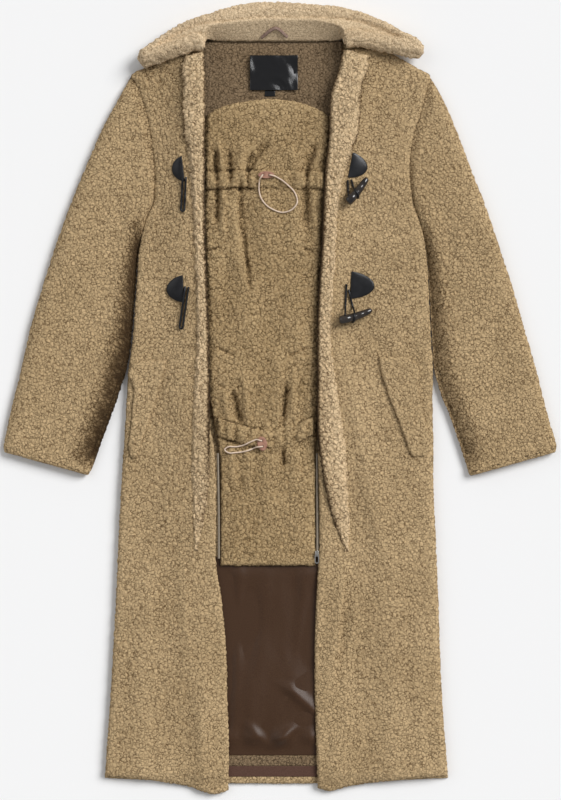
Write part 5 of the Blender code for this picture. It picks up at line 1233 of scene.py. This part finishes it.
def make_pocket(side):
    """A slanting welt on a front: a strip raised from the cloth, its mouth side a little fuller."""
    welt = POCKETS[side]
    order = np.argsort(welt.y)
    row_way, row_high = over_edges(welt.y.max() - welt.y.min(), FINE_PITCH, 6.0)
    rows = welt.y.min() + row_way[0]
    inner, outer = smooth(welt.y[order], welt.inner[order], rows), smooth(welt.y[order], welt.outer[order], rows)
    low, high_x = np.minimum(inner, outer), np.maximum(inner, outer)
    way, high = over_edges(high_x - low, FINE_PITCH, 6.0)
    x, y = low[:, None] + way, rows[:, None] + 0 * way
    ground = front_top(side, x, y) - 1.0
    edge_side = way / (high_x - low)[:, None]
    mouth = edge_side if side == "left" else 1 - edge_side
    over = grid(x, y, ground + (5.2 + 1.6 * mouth ** 3) * row_high[:, None] * high)
    over, curl = with_pile(over, COAT_CURL, 0.9)
    return close_under("pocket_cloth_" + side, over, ground, curl, COAT_PILE, ["pocket_" + side])


def make_hanger(collar):
    """A narrow tape from the neck seam, a loop standing against the collar."""
    route = points_of(HANGER, "x", "y")
    line = smooth_line(np.arange(len(route)), route, np.linspace(0, len(route) - 1, 60))
    heading = np.gradient(line, axis=0)
    normal = np.stack([-heading[:, 1], heading[:, 0]], 1) / np.linalg.norm(heading, axis=1)[:, None]
    plan = line + normal * (HANGER_WIDE * np.linspace(-0.5, 0.5, 7))[:, None, None]
    ground = height(surface([collar]), line[:, 0], line[:, 1], 2.5) + REST_GAP
    over = grid(plan[..., 0], plan[..., 1], ground + HANGER_THICK)
    over[[0, -1], :, 2] -= 0.7 * HANGER_THICK
    return close_under("hanger_tape", over, ground, None, HANGER_TAPE, ["hanger_loop"])


# ---------------------------------------------------------------- toggles
def make_patch(name, side):
    """A leather patch: a straight side where the cords leave it and a rounded point away from the opening, with
    a stitched groove along its edge."""
    patch = PATCHES[name]
    rows = np.concatenate([[-1.0, -0.985], np.linspace(-0.96, 0.96, 45), [0.985, 1.0]])[:, None]
    share = np.concatenate([[0.0, 0.03], np.linspace(0.08, 0.92, 26), [0.97, 1.0]])
    profile = np.maximum((1 - rows ** 2) ** 0.6, 0.06)
    local_x, local_y = patch.reach * profile * share, patch.half * rows + 0 * share
    to_edge = np.minimum(np.abs(patch.reach) * profile * np.minimum(share, 1 - share),
                         patch.half * (1 - np.abs(rows)) + 1.0)
    x, y = turned(patch, patch.tilt, local_x, local_y)
    ground = front_top(side, x, y) + 0.4
    groove = STITCH_GROOVE * np.exp(-((to_edge - STITCH_INSET) / STITCH_GROOVE_WIDE) ** 2)
    stitches = STITCH_HIGH * np.exp(-((to_edge - STITCH_INSET) / STITCH_WIDE) ** 2)
    stitches = stitches * (np.sin(local_y * np.pi / STITCH_LONG) > -0.2)
    crown = PATCH_CROWN * (1 - rows ** 2) * np.sin(np.pi * share)
    over = grid(x, y, ground + PATCH_THICK * rounded(to_edge + 0.15, PATCH_ROUND) + crown - groove + stitches)
    if patch.reach < 0:
        over, ground = over[:, ::-1], ground[:, ::-1]
    return close_under("patch_leather_" + name, over, ground, None, LEATHER, ["patch_" + name])


def route_points(route, pitch):
    """Points every pitch millimetres on the smooth curve through a route's own points."""
    way = way_along(route)
    return smooth_line(way, route, np.linspace(0, way[-1], max(2, int(round(way[-1] / pitch)) + 1)))


def tube(name, route, radius, finish, nodes, radii=None):
    """A cord or a turned piece along a route of points: a poly curve with a round bevel and closed ends."""
    curve = bpy.data.curves.new(name, "CURVE")
    curve.dimensions = "3D"
    curve.bevel_depth = radius * MM
    curve.bevel_resolution = 5
    curve.use_fill_caps = True
    spline = curve.splines.new("POLY")
    spline.points.add(len(route) - 1)
    for i, (point, place) in enumerate(zip(spline.points, route)):
        point.co = (*(np.asarray(place) * MM), 1.0)
        point.radius = 1.0 if radii is None else radii[i] / radius
    spline.use_smooth = True
    return add_piece(name, curve, finish, nodes)


def horn_sag(share):
    """How far a horn's middle line hangs off the straight one, at a share of the way along it."""
    return np.array([0.0, -HORN_SAG]) * (4 * share * (1 - share))


def toggle_axis(name, trees):
    """Points along a horn toggle's middle line, lying on the cords that wrap it."""
    toggle = TOGGLES[name]
    thick, tip = np.array(toggle.thick), np.array(toggle.tip)
    share = HORN.share[:, None]
    plan = thick + (tip - thick) * share + horn_sag(share)
    ground = height(trees, plan[:, 0], plan[:, 1], 6.0)
    line = np.polyval(np.polyfit(HORN.share, ground, 1), HORN.share)
    line = line + max(0.0, (ground - line).max())
    return np.concatenate([plan, (line + CORD + 1.4 + HORN.radius.max())[:, None]], axis=1)


def make_toggle(name, trees):
    """A horn: a turned piece along its bowed middle line, thick and round at one end, tapering to the other."""
    axis = toggle_axis(name, trees)
    at = np.concatenate([np.linspace(0, 0.09, 9)[:-1], np.linspace(0.09, 0.9, 30)[:-1], np.linspace(0.9, 1, 9)])
    fine = smooth_line(HORN.share, axis, at)
    radii = HORN_FULLER * smooth(HORN.share, HORN.radius, at) * (1 + 0.02 * np.sin(at * 31))
    radii[0] *= 0.7
    return tube("horn_toggle_" + name, fine, radii.max(), HORN_FINISH, ["toggle_" + name], radii)


def make_toggle_cord(name, cloth, carriers):
    """One cord from the patch round the toggle and back: a strand down, a turn round the horn, a strand up."""
    axis = toggle_axis(name, cloth)
    heading = axis[-1] - axis[0]
    along = heading / np.linalg.norm(heading)
    near = np.array([-along[1], along[0], 0.0])
    near /= np.linalg.norm(near)
    rise = np.cross(along, near)
    rise = rise if rise[2] > 0 else -rise
    first, last, from_angle, to_angle = CORD_TURN
    around = np.radians(np.linspace(from_angle, to_angle, 20))
    shares = np.linspace(first, last, len(around))
    centre = axis[0] + heading * shares[:, None]
    centre[:, :2] += horn_sag(shares[:, None])
    turn_radius = HORN.radius.max() + CORD / 2 - 0.2
    turn = centre + turn_radius * (np.sin(around)[:, None] * rise + np.cos(around)[:, None] * near)
    strands = []
    for start, end in zip(np.array(CORD_STARTS[name]), (turn[0], turn[-1])):
        plan = start + (end[:2] - start) * np.array([0.0, 0.2, 0.45, 0.7])[:, None]
        ground = height(carriers, plan[:, 0], plan[:, 1], 1.5) + CORD / 2 + 0.2
        strands.append(np.concatenate([plan, ground[:, None]], axis=1))
    route = np.concatenate([strands[0], turn, strands[1][::-1]])
    return tube("toggle_strand_" + name, route_points(route, 1.6), CORD / 2, LEATHER,
                ["toggle_cord_" + name])


def lay(plan, pitch, radius, trees):
    """A cord's way laid on what carries it: points every pitch millimetres, each clear of what is near it."""
    plan = route_points(plan, pitch)
    ground = height(trees, plan[:, 0], plan[:, 1], radius + 0.6)
    for smoothing in range(LAY_SMOOTHINGS):
        ground[1:-1] = np.maximum(ground[1:-1], (ground[:-2] + ground[2:]) / 2)
    return np.concatenate([plan, (ground + radius + 0.15)[:, None]], axis=1)


def make_loop(name, trees):
    """A loop of cord for a toggle: two strands side by side down from the patch, and a round end."""
    start, end = (np.array(place) for place in LOOPS[name])
    along = (end - start) / np.linalg.norm(end - start)
    aside = np.array([-along[1], along[0]])
    strand = np.linspace(0, 1, 9)[:, None]
    bend = np.radians(np.linspace(0, 180, 9))[1:-1, None]
    plan = np.concatenate([
        start + aside * LOOP_HALF + (end - start) * strand,
        end + LOOP_HALF * (np.cos(bend) * aside + np.sin(bend) * along),
        (start - aside * LOOP_HALF + (end - start) * strand)[::-1],
    ])
    return tube("loop_cord_" + name, lay(plan, 1.6, CORD / 2, trees), CORD / 2, LEATHER,
                ["loop_" + name])


# ---------------------------------------------------------------- draw cords
def make_stop(name, trees):
    """A cord stop: a flat oval of leather with rounded edges and two sunk holes. Gives the height of its top."""
    stop = STOPS[name]
    span = turned(stop, stop.turn, stop.long * np.linspace(-0.4, 0.4, 9), 0.0)
    ground = np.median(height(trees, *span, 1.0)) + REST_GAP
    inside = np.linspace(0.9, 0.0, 26)
    ring = np.append(STOP_RIM.ring, inside)[:, None]
    level = np.append(STOP_RIM.level, np.ones(len(inside)))[:, None]
    around = np.linspace(0, 2 * np.pi, 72, endpoint=False)
    local_x, local_y = stop.long / 2 * ring * np.cos(around), stop.wide / 2 * ring * np.sin(around)
    hole = np.minimum(*(np.hypot(local_x + end * stop.long * STOP_HOLES, local_y) for end in (-1, 1)))
    z = ground + STOP_HIGH * level - HOLE_DEEP * (1 - step(*HOLE_SIDE, hole)) * (ring < 0.85)
    points = grid(*turned(stop, stop.turn, local_x, local_y), z)
    index = np.arange(z.size).reshape(z.shape)
    faces = quads(np.concatenate([index, index[:, :1]], axis=1)).tolist() + [index[0, ::-1].tolist()]
    add_piece("cord_stop_" + name, mesh_of("cord_stop_" + name, points, faces, np.zeros(z.size)), STOP_LEATHER,
              ["stop_" + name])
    return ground + STOP_HIGH


def make_draw_cord(name, trees, top):
    """A loop of elastic on the insert: both ends come out of the stop's holes and bend down to the cloth."""
    route = lay(points_of(DRAW_CORDS[name], "x", "y"), 2.5, ELASTIC / 2, trees)
    stop = STOPS[name]
    holes = [np.array(turned(stop, stop.turn, end * stop.long * STOP_HOLES, 0.0)) for end in (-1, 1)]
    if name == "lower":
        holes.reverse()
    ends = []
    for hole, mouth in zip(holes, (route[0], route[-1])):
        ends.append(np.array([[*(hole + (mouth[:2] - hole) * share), top + rise] for share, rise in CORD_EXIT]))
    route = route_points(np.concatenate([ends[0], route[2:-2], ends[1][::-1]]), 2.0)
    piece = tube("elastic_" + name, route, ELASTIC / 2, ELASTIC_FINISH, ["draw_cord_" + name])
    return piece


# ---------------------------------------------------------------- zips
def make_zip(side):
    """The closed zip between the insert and the front's edge: a narrow tape with a ribbed middle."""
    line = ZIPS[side]
    way, row_high = over_edges(line.y[-1] - line.y[0], 0.5, 1.0)
    y = line.y[0] + way[0][:, None]
    centre = smooth(line.y, line.x, y)
    x = centre + ZIP_WIDE * ZIP_PROFILE.across
    teeth = ZIP_TEETH * np.sin(y * 2 * np.pi / ZIP_RIB) * (np.abs(ZIP_PROFILE.across) < 0.2)
    base = insert_level(centre, y) - ZIP_SINK + 1.0
    over = grid(x, y, base + (ZIP_THICK * ZIP_PROFILE.level + teeth) * row_high[:, None])
    return close_under("zip_tape_" + side, over, base, None, ZIP_TAPE, ["zip_" + side])


# ---------------------------------------------------------------- assembly
def make_coat():
    """All the pieces, each after what carries it."""
    base = BACK_TOP + REST_GAP
    make_back()
    make_flat("neck_inside", NECK_INSIDE, base, NECK_THICK, INSIDE_PILE, ["neck_facing"], pitch=PITCH,
              curl=INSIDE_CURL, pile=1.0)
    make_flat("lining_cloth", LINING, base, LINING_THICK, LINING_SATIN, ["lining"], pitch=3.0,
              relief=lining_relief)
    make_flat("hem_inside", HEM_BAND, base, HEM_BAND_THICK, INSIDE_PILE, ["hem_band"], pitch=2.5,
              curl=INSIDE_CURL, pile=0.6)
    make_flat("hem_binding", HEM_TAPE, base, HEM_TAPE_THICK, BINDING, ["hem_tape"])
    insert = make_insert()
    channels = {name: make_channel(name) for name in CHANNELS}
    fronts = {side: make_front(side) for side in SIDES}
    for side in SIDES:
        make_strip(side)
        make_zip(side)
        make_sleeve(side)
        make_pocket(side)
    make_hanger(make_collar())
    label_base = base + NECK_THICK + REST_GAP
    make_flat("neck_label", LABEL, label_base, LABEL.thick, LABEL_SATIN, ["label"], pitch=1.5,
              relief=label_relief)
    make_flat("label_tab", TAB, label_base, TAB.thick, LABEL_SATIN, ["size_tab"])
    for name in CHANNELS:
        left_patch, right_patch = make_patch(name + "_left", "left"), make_patch(name + "_right", "right")
        make_loop(name, surface([fronts["left"], left_patch]))
        cloth = surface([fronts["right"]])
        make_toggle(name, cloth)
        make_toggle_cord(name, cloth, surface([fronts["right"], right_patch]))
        gathered = surface([insert, channels[name]])
        top = make_stop(name, gathered)
        make_draw_cord(name, gathered, top)


def make_stage():
    """The surface that the coat lies on, soft light from the upper right and a little from the left, and a camera
    straight above with a long lens, its view as wide and long as the photographed one."""
    paper = new_finish("paper", 0.9, Specular_IOR_Level=0.0, Base_Color=PAPER_COLOUR)[0]
    mesh = bpy.data.meshes.new("floor")
    corners = [(x * PAPER_HALF, y * PAPER_HALF, 0) for x, y in ((-1, -1), (1, -1), (1, 1), (-1, 1))]
    mesh.from_pydata(corners, [], [(0, 1, 2, 3)])
    mesh.materials.append(paper)
    floor = bpy.data.objects.new("floor", mesh)
    floor.location.z = -PAPER_SINK
    bpy.context.scene.collection.objects.link(floor)
    scene = bpy.context.scene
    for name, place, spread, power in LIGHTS:
        lamp = bpy.data.lights.new(name, "SUN")
        lamp.angle, lamp.energy = np.radians(spread), power
        light = bpy.data.objects.new(name, lamp)
        light.location = place
        light.rotation_euler = (-Vector(place)).to_track_quat("-Z", "Y").to_euler()
        scene.collection.objects.link(light)
    world = bpy.data.worlds.new("fill")
    world.use_nodes = True
    background = world.node_tree.nodes["Background"].inputs
    background["Color"].default_value = (*FILL_COLOUR, 1.0)
    background["Strength"].default_value = FILL_STRENGTH
    scene.world = world
    scene.view_settings.view_transform = "Standard"

    lens = bpy.data.cameras.new("camera")
    lens.lens, lens.sensor_width = LENS, SENSOR
    lens.clip_end = SIGHT
    camera = bpy.data.objects.new("camera", lens)
    distance = VIEW_LONG * LENS / SENSOR
    camera.location = (VIEW_CENTRE[0] * MM, VIEW_CENTRE[1] * MM, distance * MM)
    scene.collection.objects.link(camera)
    scene.camera = camera


make_stage()
make_coat()
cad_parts["zip_slider"].data.materials[0] = METAL
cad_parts["zip_pull"].data.materials[0] = METAL
